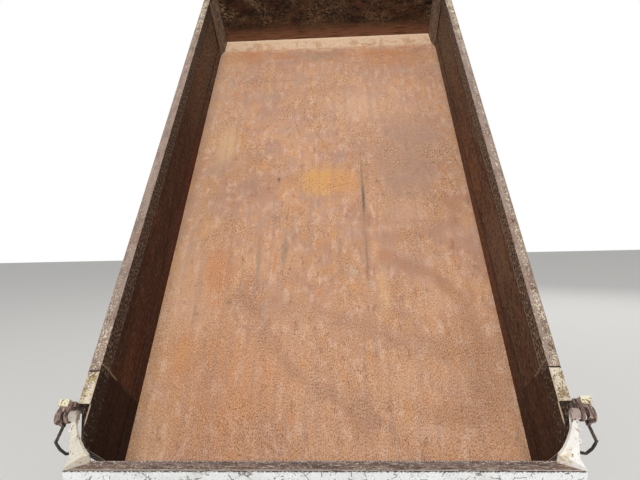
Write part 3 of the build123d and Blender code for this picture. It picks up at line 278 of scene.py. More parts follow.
# Bruises and scuffs of the floor plate, which is hot-rolled, rusted and then rubbed by loads.
FLOOR_MARKS = [
    ("#A58473", 0.6, [(454, 1740, 242, 616, 0)]),
    ("#A98878", 0.5, [(628, 1910, 202, 306, 0)]),
    ("#A2745C", 0.5, [(424, 964, 59, 213, 61), (578, 848, 58, 176, 42), (652, 706, 56, 160, 11)]),
    ("#AE7F66", 0.42, [(407, 1149, 75, 279, -89), (629, 1221, 75, 216, -49), (691, 1365, 79, 163, 14)]),
    ("#9E745E", 0.5, [(-360, 746, 51, 167, 45), (-251, 589, 48, 213, 27), (-143, 421, 46, 180, 40),
                      (1, 311, 44, 185, 65), (128, 209, 43, 147, 34), (164, 217, 93, 174, 0)]),
    ("#A9806B", 0.4, [(-141, 720, 92, 341, 74), (150, 632, 89, 266, 73), (420, 543, 87, 304, 71)]),
    ("#A97B61", 0.6, [(685, 385, 115, 326, 0)]),
    ("#AA7B60", 0.5, [(548, 211, 196, 86, 0)]),
    ("#CB8A60", 0.4, [(-430, 330, 420, 430, 0)]),
    ("#C67D4B", 0.5, [(-549, 944, 133, 251, 0)]),
    ("#C88250", 0.5, [(-654, 507, 84, 239, 0)]),
    ("#C07B49", 0.55, [(-600, 2892, 254, 161, 0)]),
    ("#C57F54", 0.55, [(474, 2801, 327, 174, 0)]),
    ("#A38872", 0.6, [(-37, 2877, 203, 119, 0)]),
    ("#DDB388", 0.7, [(-618, 1896, 77, 268, 0)]),
    ("#DBB194", 0.5, [(202, 2249, 269, 223, 0)]),
    ("#D5A687", 0.5, [(471, 1321, 171, 153, 0)]),
    ("#D6A789", 0.55, [(503, 737, 184, 90, 0)]),
    ("#D3A483", 0.5, [(389, 360, 296, 114, 0)]),
    ("#E0B37F", 0.6, [(290, 803, 43, 205, 0)]),
    ("#AA806C", 0.5, [(-370, 1509, 132, 168, 0)]),
    ("#AE866C", 0.45, [(-373, 2167, 131, 156, 0)]),
    ("#E0A65E", 0.75, [(-47, 1577, 177, 171, 0)]),
    ("#DA9A60", 0.65, [(81, 1556, 157, 146, 0)]),
    ("#C8824F", 0.5, [(305, 1029, 69, 76, 0)]),
    ("#C9A98C", 0.8, [(-807, 2960, 81, 186, 0)]),
    ("#CDB29C", 0.5, [(144, 922, 37, 45, 0)]),
    ("#D0B59E", 0.5, [(230, 850, 29, 34, 0)]),
]
# Scores in the plate, left by stones and shovels, with the bare grey of the steel in them.
FLOOR_SCORES = [
    ("#A37F6B", 0.6, [(215, 1250, 34, 520, 0)]),
    ("#80705F", 0.6, [(209, 1560, 9, 440, 0)]),
    ("#5F5347", 0.8, [(211, 1420, 12, 150, 0)]),
    ("#7E6A5C", 0.55, [(213, 1010, 8, 230, 0)]),
    ("#8E7A66", 0.6, [(-214, 1060, 24, 150, -1)]),
    ("#97816C", 0.45, [(-345, 1000, 20, 220, 3)]),
    ("#6F5546", 0.8, [(-276, 1590, 14, 26, 0)]),
    ("#8C6B55", 0.6, [(60, 1525, 5, 130, -76)]),
    ("#8A6D5B", 0.5, [(330, 1560, 5, 130, -80)]),
    ("#8E6A53", 0.5, [(-390, 2560, 7, 330, 90)]),
    ("#8E6C58", 0.55, [(-190, 2060, 5, 190, 14)]),
    ("#8E6C58", 0.5, [(-60, 1990, 5, 150, 24)]),
    ("#A07C68", 0.5, [(120, 2300, 6, 200, -34)]),
    ("#8C6B55", 0.5, [(30, 640, 4, 60, 80)]),
    ("#8A6750", 0.6, [(-660, 2230, 7, 40, 90)]),
]


def floor_finish(tree, bed):
    """Rubbed rust, drawn along the bed by loads sliding out: broad patches, fine grains that show most
    towards the rear, coarser ones further forward, and dried sand at the head. Beside the walls the plate
    is lightened as painted light, standing in for light that the walls keep off it."""
    split = add(tree, "SeparateXYZ", {0: bed})
    across, ahead = split.outputs["X"], split.outputs["Y"]
    loose = warped(tree, bed, 160, 70)
    colour = layered(
        tree, "#CE9C7A",
        (blotches(tree, loose, 620, 0.38, 0.62), "#BF8F6E"),
        (blotches(tree, loose, 230, 0.50, 0.64, strength=0.75), "#B18672"),
        (blotches(tree, warped(tree, bed, 60, 30), 150, 0.54, 0.70, strength=0.7), "#D29A69"),
        (blotches(tree, bed, (45, 95, 45), 0.50, 0.60, 6.0, 0.75, 0.7), "#DDB59C"),
        (blotches(tree, bed, (60, 120, 60), 0.53, 0.64, 6.0, 0.75, 0.65), "#C88553"),
        (blotches(tree, bed, (32, 75, 32), 0.54, 0.64, 6.0, 0.75, 0.75), "#986B54"))
    middle = add(tree, "MapRange", {"Value": ahead, "From Min": 0.5, "From Max": 1.2, "To Min": 0.15})
    bruises = blotches(tree, warped(tree, bed, 120, 110), (150, 210, 150), 0.47, 0.62, 5.0)
    smooth = product(tree, bruises, middle)
    colour = tint(tree, (smooth, 0.5), colour, "#B49180")
    colour = marks(tree, loose, colour, FLOOR_MARKS)
    colour = tint(tree, blotches(tree, bed, (34, 700, 34), 0.46, 0.66, 5.0, strength=0.4), colour, "#A98573")
    colour = marks(tree, warped(tree, bed, 45, 9), colour, FLOOR_SCORES)
    rough = add(tree, "Math", {0: 1.0, 1: smooth}, operation="SUBTRACT")
    rearward = beyond(tree, ahead, 1050, -450, 0.85)
    patchy = either(tree, blotches(tree, loose, 330, 0.42, 0.60), rearward, 0.4)
    grainy = product(tree, patchy, either(tree, rough, 0.5))
    coarse = product(tree, beyond(tree, ahead, 1250, 450), grainy)
    ragged = add(tree, "SeparateXYZ", {0: warped(tree, bed, 150, 240)}).outputs["Y"]
    colour = layered(
        tree, colour,
        ((blotches(tree, bed, (4.5, 7, 4.5), 0.44, 0.64, 4.0, 0.7), grainy), "#B4926A", "SCREEN"),
        ((blotches(tree, bed, (5, 8, 5), 0.54, 0.36, 4.0, 0.7), grainy), "#B58D74", "MULTIPLY"),
        ((blotches(tree, bed, (10, 17, 10), 0.50, 0.57, 5.0, 0.75, 0.7), coarse), "#86694A", "SCREEN"),
        ((blotches(tree, bed, (10, 17, 10), 0.48, 0.40, 5.0, 0.75, 0.8), coarse), "#C0A596", "MULTIPLY"),
        ((stripe(tree, ragged, 2860, 30, 60), blotches(tree, bed, (130, 60, 40), 0.47, 0.62), 0.6),
         "#BC7A4C"),
        ((beyond(tree, ragged, 2950, 30), blotches(tree, bed, (50, 30, 16), 0.34, 0.54), 0.8), "#D8B595"),
        (beyond(tree, ahead, 1950, 350, 0.8), "#5E4238", "SCREEN"),
        # Painted light: the plate is lightened beside the left wall, and less beside the right, where the
        # walls keep light off it.
        (beyond(tree, across, -640, -160), "#6C503A", "SCREEN"),
        (beyond(tree, across, 730, 70, 0.6), "#52402F", "SCREEN"))
    grain = add(tree, "TexNoise", {"Vector": bed, "Scale": per(9), "Detail": 3.0, "Roughness": 0.7})
    roughness = add(tree, "MapRange", {"Value": grain, "From Min": 0.3, "From Max": 0.7,
                                       "To Min": 0.62, "To Max": 0.85})
    fine = add(tree, "Math", {0: grain, 1: 0.7 * MM}, operation="MULTIPLY")
    swell = add(tree, "TexNoise", {"Vector": bed, "Scale": per(260), "Detail": 2.0})
    height = add(tree, "Math", {0: swell, 1: 10 * MM, 2: fine}, operation="MULTIPLY_ADD")
    return colour, roughness, height


def dark_rust_finish(tree, at, base="#583828", deep="#3A251B", warm="#7C462A", pale="#A48B74", specks=0.5,
                     drift=(70, 520, 60)):
    """Rust that loads only brush: brown with darker drifts, warm flushes and pale specks where scraped."""
    loose = warped(tree, at, 90, 30)
    few = blotches(tree, loose, 130, 0.42, 0.60)
    colour = layered(
        tree, base,
        (blotches(tree, loose, drift, 0.40, 0.64, 6.0, 0.6, 0.7), deep),
        (blotches(tree, loose, 240, 0.52, 0.72, strength=0.6), warm),
        ((blotches(tree, at, 9, 0.56, 0.66, 4.0, 0.7, specks), few), pale),
        (blotches(tree, at, (5, 300, 5), 0.62, 0.69, 2.0, strength=specks * 0.6), pale))
    grain = add(tree, "TexNoise", {"Vector": at, "Scale": per(10), "Detail": 5.0, "Roughness": 0.65})
    return grained(tree, colour, grain, 0.75, 0.95, 1.8)


def paint_finish(tree, at, paint="#E0DCD1", grime="#A0968A", rust="#6E4328", scale="#3E2A20", bare=0.34,
                 chip=20):
    """Brushed enamel over steel, chipped to rust: a higher bare value leaves less paint."""
    loose = warped(tree, at, 40, 16)
    broad = add(tree, "TexNoise", {"Vector": loose, "Scale": per(chip * 7), "Detail": 3.0})
    flakes = add(tree, "TexNoise", {"Vector": loose, "Scale": per(chip), "Detail": 6.0, "Roughness": 0.68})
    wear = add(tree, "Math", {0: broad, 1: 0.55, 2: flakes}, operation="MULTIPLY_ADD")
    edge = 1.08 - 0.45 * bare
    chipped = add(tree, "MapRange", {"Value": wear, "From Min": edge - 0.008, "From Max": edge + 0.008})
    stained = add(tree, "MapRange", {"Value": wear, "From Min": edge - 0.10, "From Max": edge, "To Max": 0.6})
    colour = layered(
        tree, paint,
        (blotches(tree, loose, 120, 0.42, 0.72, strength=0.45), grime),
        (blotches(tree, at, 7, 0.55, 0.68, 3.0, strength=0.35), grime),
        (stained, "#A97E52"),
        (chipped, tint(tree, blotches(tree, at, 12, 0.4, 0.62), rust, scale)))
    roughness = add(tree, "Mix", {"Factor": chipped, "A": 0.42, "B": 0.9})
    pitted = add(tree, "TexNoise", {"Vector": at, "Scale": per(5), "Detail": 3.0})
    film = add(tree, "Math", {0: chipped, 1: -0.9 * MM}, operation="MULTIPLY")
    height = add(tree, "Math", {0: pitted, 1: 0.5 * MM, 2: film}, operation="MULTIPLY_ADD")
    return colour, roughness, height


def distance_across(tree, bed):
    """Distance from the bed's middle line, on either side."""
    return add(tree, "Math", {0: add(tree, "SeparateXYZ", {0: bed}).outputs["X"]}, operation="ABSOLUTE")


def on_right(tree, bed):
    """1 on the bed's right half and 0 on its left."""
    return beyond(tree, add(tree, "SeparateXYZ", {0: bed}).outputs["X"], 0, 1)


def facing_sideways(tree):
    """1 on faces that look to the left or right, and 0 on all others."""
    normal = add(tree, "SeparateXYZ", {0: add(tree, "TexCoord").outputs["Normal"]}).outputs["X"]
    size = add(tree, "Math", {0: normal}, operation="ABSOLUTE")
    return add(tree, "Math", {0: size, 1: 0.7}, operation="GREATER_THAN")


def wall_marks(tree, bed, colour, side, table):
    """Soft marks on the inner face of one wall."""
    split = add(tree, "SeparateXYZ", {0: bed})
    away = add(tree, "Math", {0: split.outputs["X"], 1: 5.0, 2: -side * 5.0 * HALF_INNER * MM},
               operation="MULTIPLY_ADD")
    face = add(tree, "CombineXYZ", {0: split.outputs["Y"], 1: split.outputs["Z"], 2: away})
    return marks(tree, warped(tree, face, 60, 26), colour, table)


# Marks on the walls, with y and z of the bed in place of x and y.
LEFT_WALL_MARKS = [
    ("#5E2E20", 0.7, [(1500, 40, 900, 60, 0)]),
    ("#4A2418", 0.5, [(600, 90, 420, 90, 0)]),
    ("#634837", 0.45, [(2150, 190, 520, 190, 0)]),
    ("#6B5340", 0.5, [(2700, 220, 420, 260, 0)]),
    ("#85725C", 0.45, [(2860, 330, 160, 120, 0)]),
    ("#452C20", 0.5, [(1500, 250, 700, 50, 0)]),
]
RIGHT_WALL_MARKS = [
    ("#935A32", 0.45, [(1440, 130, 300, 60, -4)]),
    ("#8A5432", 0.4, [(1750, 110, 300, 60, 6)]),
    ("#7C4A2C", 0.7, [(1000, 40, 900, 50, 0)]),
    ("#846C5A", 0.55, [(800, 190, 500, 150, 0)]),
    ("#6A4E36", 0.5, [(2000, 230, 500, 80, 0)]),
    ("#7B6650", 0.55, [(2650, 200, 460, 260, 0)]),
    ("#4C3022", 0.5, [(600, 170, 260, 120, 0)]),
    ("#6B5646", 0.5, [(420, 300, 120, 90, 0)]),
    ("#5A3422", 0.8, [(110, 80, 170, 90, 0)]),
]


def inner_wall_finish(tree, bed, left="#4A2C1F", right="#755240", specks=0.35):
    """The walls' inner faces: brown rust, darker on the left as painted shade (the left and right colours are
    shaded and lit copies of one rust), redder low down, scraped pale towards the headboard, and nearly black
    behind the welded seam at the rear, with fine pale scratches high up there."""
    split = add(tree, "SeparateXYZ", {0: bed})
    ahead = split.outputs["Y"]
    side = on_right(tree, bed)
    # Painted shade: the left colours are darker copies of the right ones, standing in for the shade on the
    # left wall.
    base, deep = tint(tree, side, left, right), tint(tree, side, "#301C14", "#3F2A1D")
    colour, roughness, height = dark_rust_finish(tree, bed, base, deep, "#70402A", "#A48B74", specks)
    colour = wall_marks(tree, bed, colour, -1, LEFT_WALL_MARKS)
    colour = wall_marks(tree, bed, colour, 1, RIGHT_WALL_MARKS)
    grainy = either(tree, side, 0.35)
    near_head = beyond(tree, ahead, 2250, 550)
    rear = beyond(tree, ahead, PLATE_SEAM, -3)
    shade = add(tree, "Mix", {"Factor": side, "A": 0.62, "B": 0.42})
    high = beyond(tree, split.outputs["Z"], 300, 24)
    scratches = blotches(tree, bed, (4, 8, 22), 0.57, 0.65, 3.0, strength=0.5)
    colour = layered(
        tree, colour,
        ((blotches(tree, bed, (9, 20, 9), 0.52, 0.58, 4.0, 0.7, 0.75), grainy), "#8A6E56"),
        ((blotches(tree, bed, (10, 24, 10), 0.53, 0.59, 4.0, 0.7, 0.75), grainy), "#2C1D14"),
        ((beyond(tree, ahead, 700, -400, 0.2), side), "#2E2017"),
        ((blotches(tree, bed, (7, 24, 7), 0.49, 0.56, 4.0, 0.7, 0.8), near_head), "#958168"),
        ((blotches(tree, bed, (8, 26, 8), 0.53, 0.60, 4.0, 0.7, 0.8), near_head), "#291B13"),
        ((rear, shade), tint(tree, side, "#1F120D", "#2F2018")),
        ((rear, high, scratches, either(tree, side, 0.5)), "#A99A86"))
    return colour, roughness, height


def outside_wall(tree, bed):
    """1 on the outboard face of the wall's sheet."""
    return beyond(tree, distance_across(tree, bed), WALL_OUTER - 1.5, 0.4)


def wall_finish(tree, bed):
    """Rust inside, chipped paint outside, and a painted highlight along the rear edge: a thin pale line."""
    sheet = blended(tree, outside_wall(tree, bed), inner_wall_finish(tree, bed), paint_finish(tree, bed))
    split = add(tree, "SeparateXYZ", {0: bed})
    # Painted highlight: the wall's lower rear edge is coloured as a thin pale line where light catches it.
    edge = product(tree, beyond(tree, split.outputs["Y"], 0.8, -0.3),
                   beyond(tree, split.outputs["Z"], 275, -12))
    return blended(tree, edge, sheet, ("#A8957C", 0.7, 0.0))


def floor_plate_finish(tree, bed):
    """The floor's rubbed top, its turned-up sides like the walls, and paint below."""
    up = add(tree, "SeparateXYZ", {0: bed}).outputs["Z"]
    # The turned-up strip's left colour is a darker, painted-shade copy of its right colour.
    strip = inner_wall_finish(tree, bed, "#42210F", "#663B25", 0.5)
    top = blended(tree, beyond(tree, up, 1.5, 1.0), floor_finish(tree, bed), strip)
    below = paint_finish(tree, bed, "#CFCABE", "#7E746A", bare=0.42)
    return blended(tree, beyond(tree, up, -2.0, -0.5), top, below)


def seamed(tree, bed, finish):
    """A finish with the open seam between the top rail and the post's cap drawn in shadow."""
    ahead = add(tree, "SeparateXYZ", {0: bed}).outputs["Y"]
    return coloured(tree, finish, (stripe(tree, ahead, CAP_FRONT, 2.5, 0.5), "#150F0B"))


def rail_finish(tree, bed):
    """Top rail: a mauve bloom of rust on its worn top, cream enamel left in flecks along it and at its ends,
    and an inner face pitted and flecked by stones, darker on the left as painted shade, with a painted
    shadow under its lip."""
    split = add(tree, "SeparateXYZ", {0: bed})
    ahead, up = split.outputs["Y"], split.outputs["Z"]
    across = distance_across(tree, bed)
    side = on_right(tree, bed)
    worn = dark_rust_finish(tree, bed, "#9C867B", "#776359", "#8F6E5B", "#BCAA9B", 0.8, (30, 90, 30))
    worn = coloured(tree, worn, (blotches(tree, bed, (6, 10, 6), 0.55, 0.61, 4.0, 0.7, 0.75), "#C3B0A0"))
    cream = paint_finish(tree, bed, "#D9CDB4", "#A08F76", "#7A5A3C", "#4A3628", 0.52, 7)
    start = add(tree, "Mix", {"Factor": side, "A": 0.85, "B": 1.3})
    most = add(tree, "Mix", {"Factor": side, "A": 0.26, "B": 0.15})
    rear = add(tree, "MapRange", {"Value": ahead, "From Min": start, "From Max": 0.3, "To Max": most})
    ends = either(tree, rear, beyond(tree, ahead, 2450, 450, 0.5))
    streak = add(tree, "Mix", {"Factor": side, "A": 0.10, "B": 0.31})
    band = product(tree, stripe(tree, across, 827, 4, 9), streak)
    held = add(tree, "Math", {0: ends, 1: band}, operation="ADD")
    flaked = blotches(tree, bed, (6, 10, 6), 0.30, 0.70, 4.0, 0.7)
    amount = add(tree, "Math", {0: held, 1: flaked}, operation="ADD")
    kept = add(tree, "MapRange", {"Value": amount, "From Min": 0.88, "From Max": 0.96})
    top = seamed(tree, bed, blended(tree, kept, worn, cream))
    # Painted shade: the inner face's colours, and its pale flecks below, are darker on the left than on the
    # right.
    base, deep = tint(tree, side, "#3A281E", "#503C30"), tint(tree, side, "#251912", "#37271D")
    pitted = dark_rust_finish(tree, bed, base, deep, "#5A3A28", "#A5917B", 0.3, (12, 30, 12))
    lip = add(tree, "Mix", {"Factor": side, "A": 0.15, "B": 0.7})
    inner = coloured(
        tree, pitted,
        (blotches(tree, bed, (8, 14, 8), 0.51, 0.57, 4.0, 0.7, 0.85), tint(tree, side, "#94806C", "#BAA48D")),
        (blotches(tree, bed, (9, 16, 9), 0.53, 0.58, 4.0, 0.7, 0.7), "#2A1D15"),
        # Painted shadow: a dark line along the rail's lower edge, under its lip.
        ((stripe(tree, up, RAIL_LOW + 2, 3, 3), 0.7), "#24170F"),
        ((stripe(tree, up, RAIL_LOW + 9, 2, 3), blotches(tree, bed, (9, 60, 9), 0.40, 0.56), lip), "#A08B76"))
    faces = blended(tree, beyond(tree, across, HALF_INNER + 0.7, 0.3), inner, top)
    outboard = product(tree, facing_sideways(tree), beyond(tree, across, HALF_OUTER - 1, 0.3))
    return blended(tree, outboard, faces, paint_finish(tree, bed))


def post_finish(tree, bed):
    """Rear post: rust inside, a cream flecked cap, a dark scraped notch where the hinge arm lies, a bright
    worn edge at the rear of its inner plate, and paint outside."""
    split = add(tree, "SeparateXYZ", {0: bed})
    ahead = split.outputs["Y"]
    across = distance_across(tree, bed)
    sideways = facing_sideways(tree)
    cream = paint_finish(tree, bed, "#D6CDBB", "#A3937D", "#98835F", "#7B684E", 0.54, 6)
    cream = coloured(tree, cream, (blotches(tree, bed, 14, 0.52, 0.62, strength=0.4), "#D3C083"))
    dark = dark_rust_finish(tree, bed, "#35241C", "#1C1410", "#4A3023", "#94826F", 0.9, (4, 60, 30))
    scratches = blotches(tree, bed, (4, 30, 12), 0.54, 0.60, 3.0, strength=0.7)
    dark = coloured(tree, dark, (scratches, "#8C7C6E"))
    notch = product(tree, beyond(tree, ahead, CAP_REAR + 1, -0.5), beyond(tree, split.outputs["Z"], 284, 1))
    rear_face = beyond(tree, ahead, 0.8, -0.3)
    faces = blended(tree, either(tree, notch, rear_face), seamed(tree, bed, cream), dark)
    edge = product(tree, beyond(tree, across, HALF_INNER + 4.8, -0.3), beyond(tree, ahead, 62, 12), 0.8)
    faces = blended(tree, edge, faces, ("#BCA88C", 0.7, 0.0))
    inner = product(tree, sideways, beyond(tree, across, HALF_INNER + 5.5, -0.5))
    # The post's inner face on the left is a darker, painted-shade copy of the right.
    faces = blended(tree, inner, faces, inner_wall_finish(tree, bed, "#3A251B", "#4A3426", 0.6))
    outer = product(tree, sideways, beyond(tree, across, HALF_OUTER - 1, 0.3))
    return blended(tree, outer, faces, paint_finish(tree, bed))


def headboard_finish(tree, bed):
    """Dark, mottled rust inside, flecked with ochre where gravel has struck it, and redder at its foot; paint
    on the cab side."""
    split = add(tree, "SeparateXYZ", {0: bed})
    rust = dark_rust_finish(tree, bed, "#4A3021", "#241811", "#573A28", "#A58B62", 0.5, (160, 160, 60))
    high = beyond(tree, split.outputs["Z"], 150, 60)
    low = beyond(tree, split.outputs["Z"], 125, -50)
    sides = add(tree, "MapRange", {"Value": distance_across(tree, bed), "From Min": 0.15, "From Max": 0.75,
                                   "To Min": 0.35})
    struck = blotches(tree, bed, (13, 13, 10), 0.51, 0.57, 5.0, 0.75, 0.85)
    patches = blotches(tree, warped(tree, bed, 90, 80), 260, 0.42, 0.62)
    inside = coloured(
        tree, rust,
        ((high, blotches(tree, bed, (34, 34, 20), 0.48, 0.58, 5.0, 0.7, 0.8)), "#1A110C"),
        ((high, sides, struck, patches), "#A3916F"),
        ((low, blotches(tree, bed, (120, 10, 9), 0.32, 0.52, strength=0.9)), "#825A42"))
    cab_side = beyond(tree, split.outputs["Y"], BED_LENGTH + 1.5, 0.4)
    return blended(tree, cab_side, inside, paint_finish(tree, bed))


def fillet_finish(tree, bed):
    """Sloping plate at the front, pale partly with dried sand and partly as painted light for the sun on its
    slope, with rust breaking through it.
    """
    # Painted light: these colours are raised so that the tilted plate, which gets less light near the
    # headboard, renders pale.
    rust = dark_rust_finish(tree, bed, "#C69A76", "#A87C5C", "#CC9560", "#E8CFB0")
    sand = blotches(tree, warped(tree, bed, 50, 40), (70, 40, 40), 0.34, 0.52)
    high = beyond(tree, add(tree, "SeparateXYZ", {0: bed}).outputs["Z"], 34, 12)
    speckled = tint(tree, blotches(tree, bed, (13, 9, 9), 0.50, 0.60, strength=0.4), "#E6CAAC", "#BC9878")
    return blended(tree, either(tree, product(tree, sand, 0.85), high, 0.3), rust, (speckled, 0.95, 0.0))


def corner_finish(tree, bed):
    """Upright corner plates: grey-brown rust, streaked and scraped upwards."""
    rust = dark_rust_finish(tree, bed, "#745F4D", "#33261C", "#6E4C34", "#B5A28A", 0.8, (16, 30, 150))
    return coloured(tree, rust, (blotches(tree, bed, (7, 7, 22), 0.50, 0.57, 4.0, 0.7, 0.6), "#9E8B73"))


def arm_finish(tree, gate):
    """Cream enamel on the hinge arms, greyer on the left, chipped to rust and worn brown at the eye, with
    ochre at the foot, most of all on the right."""
    side = on_right(tree, gate)
    paint, grime = tint(tree, side, "#D3CCBE", "#F0EDE8"), tint(tree, side, "#9B907F", "#C4BCB0")
    enamel = paint_finish(tree, gate, paint, grime, "#6B4A33", "#3A2A20", 0.32, 12)
    eye = beyond(tree, add(tree, "SeparateXYZ", {0: warped(tree, gate, 14, 8)}).outputs["Z"], 414, 5)
    low = beyond(tree, add(tree, "SeparateXYZ", {0: gate}).outputs["Z"], 356, -16)
    inboard = beyond(tree, distance_across(tree, gate), 792, -10)
    stain = blotches(tree, gate, 12, 0.42, 0.60, 5.0, 0.7, 0.7)
    return coloured(
        tree, enamel,
        ((eye, 0.85), tint(tree, side, "#A3998D", "#8F7467")),
        ((low, inboard, stain, either(tree, side, 0.35)), "#CBA968"))


def gate_finish(tree, gate):
    """White enamel outside, speckled where it has chipped, most of all at its top; brushed rust inside."""
    split = add(tree, "SeparateXYZ", {0: gate})
    enamel = paint_finish(tree, gate, "#EFF1F1", "#BDBBB6", "#5C4033", "#332722", 0.20, 12)
    crack = add(tree, "TexVoronoi", {"Vector": warped(tree, gate, 24, 14), "Scale": per(46)},
                feature="DISTANCE_TO_EDGE")
    hair = add(tree, "MapRange", {"Value": crack, "From Min": 0.04, "From Max": 0.015})
    specks = blotches(tree, gate, 5, 0.60, 0.65, 3.0)
    top = beyond(tree, split.outputs["Z"], GATE_TOP - 5, 4)
    outside = coloured(
        tree, enamel,
        ((hair, blotches(tree, gate, 30, 0.50, 0.56), 0.8), "#4A3F38"),
        ((specks, blotches(tree, gate, 70, 0.44, 0.60), 0.7), "#463C36"),
        ((top, blotches(tree, gate, (7, 7, 5), 0.46, 0.52, 3.0)), "#3C302A"))
    inside = dark_rust_finish(tree, gate, "#7A5A48", "#553C30", "#8A5A3C", "#B59E8A")
    return blended(tree, beyond(tree, split.outputs["Y"], GATE_INNER - 1.6, -0.6), inside, outside)


def gate_top_finish(tree, gate):
    """The tailgate's top rail: its upper face rubbed to a dark mauve brown and drawn with fine pale streaks,
    with a thin pale painted highlight along either edge."""
    split = add(tree, "SeparateXYZ", {0: gate})
    ahead = split.outputs["Y"]
    rust = dark_rust_finish(tree, gate, "#7C645A", "#4B3A34", "#805B48", "#C4B5A4", 0.8, (130, 14, 14))
    face = coloured(
        tree, rust,
        (blotches(tree, gate, (44, 4, 8), 0.56, 0.62, 3.0, strength=0.75), "#B9A899"),
        (blotches(tree, gate, (12, 5, 8), 0.60, 0.65, strength=0.8), "#C6B8A8"),
        (blotches(tree, gate, (50, 7, 10), 0.55, 0.63, strength=0.7), "#3E2C24"),
        ((stripe(tree, ahead, GATE_OUTER, 1.6, 0.8), 0.8), "#2F231E"))
    # Painted highlights: thin pale lines along the face's outer and inner edges, broken up by a noise.
    outer = stripe(tree, ahead, GATE_OUTER + 4.5, 1.2, 0.9)
    inner = product(tree, stripe(tree, ahead, GATE_INNER, 1.2, 0.9), 0.6)
    lines = product(tree, either(tree, outer, inner), blotches(tree, gate, (60, 12, 12), 0.34, 0.44))
    face = blended(tree, lines, face, ("#C3B5A8", 0.6, 0.0))
    return blended(tree, beyond(tree, split.outputs["Z"], GATE_TOP - 0.8, 0.3), gate_finish(tree, gate), face)


def chassis_finish(tree, at):
    """Black chassis paint, thinned to a brown bloom, with road dust."""
    return paint_finish(tree, at, "#26272A", "#4A443E", "#5B3A28", "#2F211A", 0.30, 30)


def hoist_finish(tree, at):
    """Grey machinery enamel with oil stains."""
    return paint_finish(tree, at, "#8C9196", "#3E3A36", "#5E4030", "#33251D", 0.24, 24)


def forging_finish(tree, at):
    """Forged steel with its scale gone to a mauve rust, rubbed pale on its ridges."""
    return dark_rust_finish(tree, at, "#5E4D46", "#30241F", "#70493A", "#A08E83", 0.7, (14, 14, 14))


def keeper_finish(tree, bed):
    """Forged keeper, streaked light and nearly black with rust. Cream paint is left on the block at its front
    and low on its outer face."""
    split = add(tree, "SeparateXYZ", {0: bed})
    up = split.outputs["Z"]
    across = distance_across(tree, bed)
    block = product(tree, beyond(tree, across, HALF_OUTER + 17, 0.5),
                    beyond(tree, split.outputs["Y"], 111, 0.5), beyond(tree, up, 402, 3))
    cream = paint_finish(tree, bed, "#E4DDBE", "#B3A47E", "#7A5A3C", "#4A3628", 0.45, 8)
    outer = product(tree, facing_sideways(tree), beyond(tree, across, HALF_OUTER + 40, -1),
                    beyond(tree, up, 330, -3))
    forged = dark_rust_finish(tree, bed, "#866D63", "#3A2721", "#8C5A42", "#C9B5A9", 0.9, (10, 22, 14))
    forged = coloured(
        tree, forged,
        (blotches(tree, bed, (6, 24, 10), 0.55, 0.61, strength=0.8), "#C0AA9D"),
        (blotches(tree, bed, (9, 26, 14), 0.54, 0.62, strength=0.85), "#21140F"))
    return blended(tree, block, blended(tree, outer, forged, cream), cream)


def machined_finish(tree, at):
    """Turned pins, grey and greasy, with fine turning marks."""
    turning = add(tree, "TexNoise", {"Vector": stretched(tree, at, 1.2, 30, 30), "Scale": 1.0, "Detail": 3.0})
    colour = tint(tree, blotches(tree, at, 30, 0.42, 0.62), "#8A8681", "#4D4239")
    return grained(tree, colour, turning, 0.3, 0.6, 0.2)


def chrome_finish(tree, at):
    """Hard chrome on a ground rod: bright, with fine lengthwise wear."""
    wear = add(tree, "TexNoise", {"Vector": stretched(tree, at, 3, 200, 200), "Scale": 1.0, "Detail": 3.0})
    colour = tint(tree, blotches(tree, at, 90, 0.55, 0.75), "#D4D6D8", "#A9A49C")
    return grained(tree, colour, wear, 0.08, 0.28, 0.03)


def rubber_finish(tree, at):
    """Moulded rubber, dull and dusty."""
    colour = tint(tree, blotches(tree, at, 35, 0.45, 0.7, strength=0.5), "#232221", "#5A5148")
    grain = add(tree, "TexNoise", {"Vector": at, "Scale": per(4), "Detail": 4.0})
    return grained(tree, colour, grain, 0.75, 0.95, 0.6)


def zinc_finish(tree, at):
    """Zinc plate gone dull, with rust at the corners."""
    colour = tint(tree, blotches(tree, at, 9, 0.42, 0.62), "#8F8F8C", "#6C5546")
    grain = add(tree, "TexNoise", {"Vector": at, "Scale": per(3), "Detail": 3.0})
    return grained(tree, colour, grain, 0.4, 0.7, 0.3)


def weld_finish(tree, at):
    """Weld metal inside the bed, rusted dark brown and rubbed lighter on top."""
    return dark_rust_finish(tree, at, "#402A1E", "#24170F", "#6A4630", "#80664F", 0.35, (12, 12, 12))


def scraped_weld_finish(tree, at):
    """Weld metal under the rail, scraped pale."""
    return dark_rust_finish(tree, at, "#9A8570", "#6A5645", "#8E7053", "#C8B9A3", 0.9, (12, 12, 12))


def enamel_finish(tree, at):
    """White enamel that has hardly chipped."""
    return paint_finish(tree, at, "#E9E7E0", "#B9B3A6", bare=0.15, chip=9)


IN_BED = (BED, TIP)
IN_GATE = (GATE, TIP - SWING)
IN_SUBFRAME = (SUBFRAME, 0)
IN_HOIST = (HOIST, HOIST_TURN)

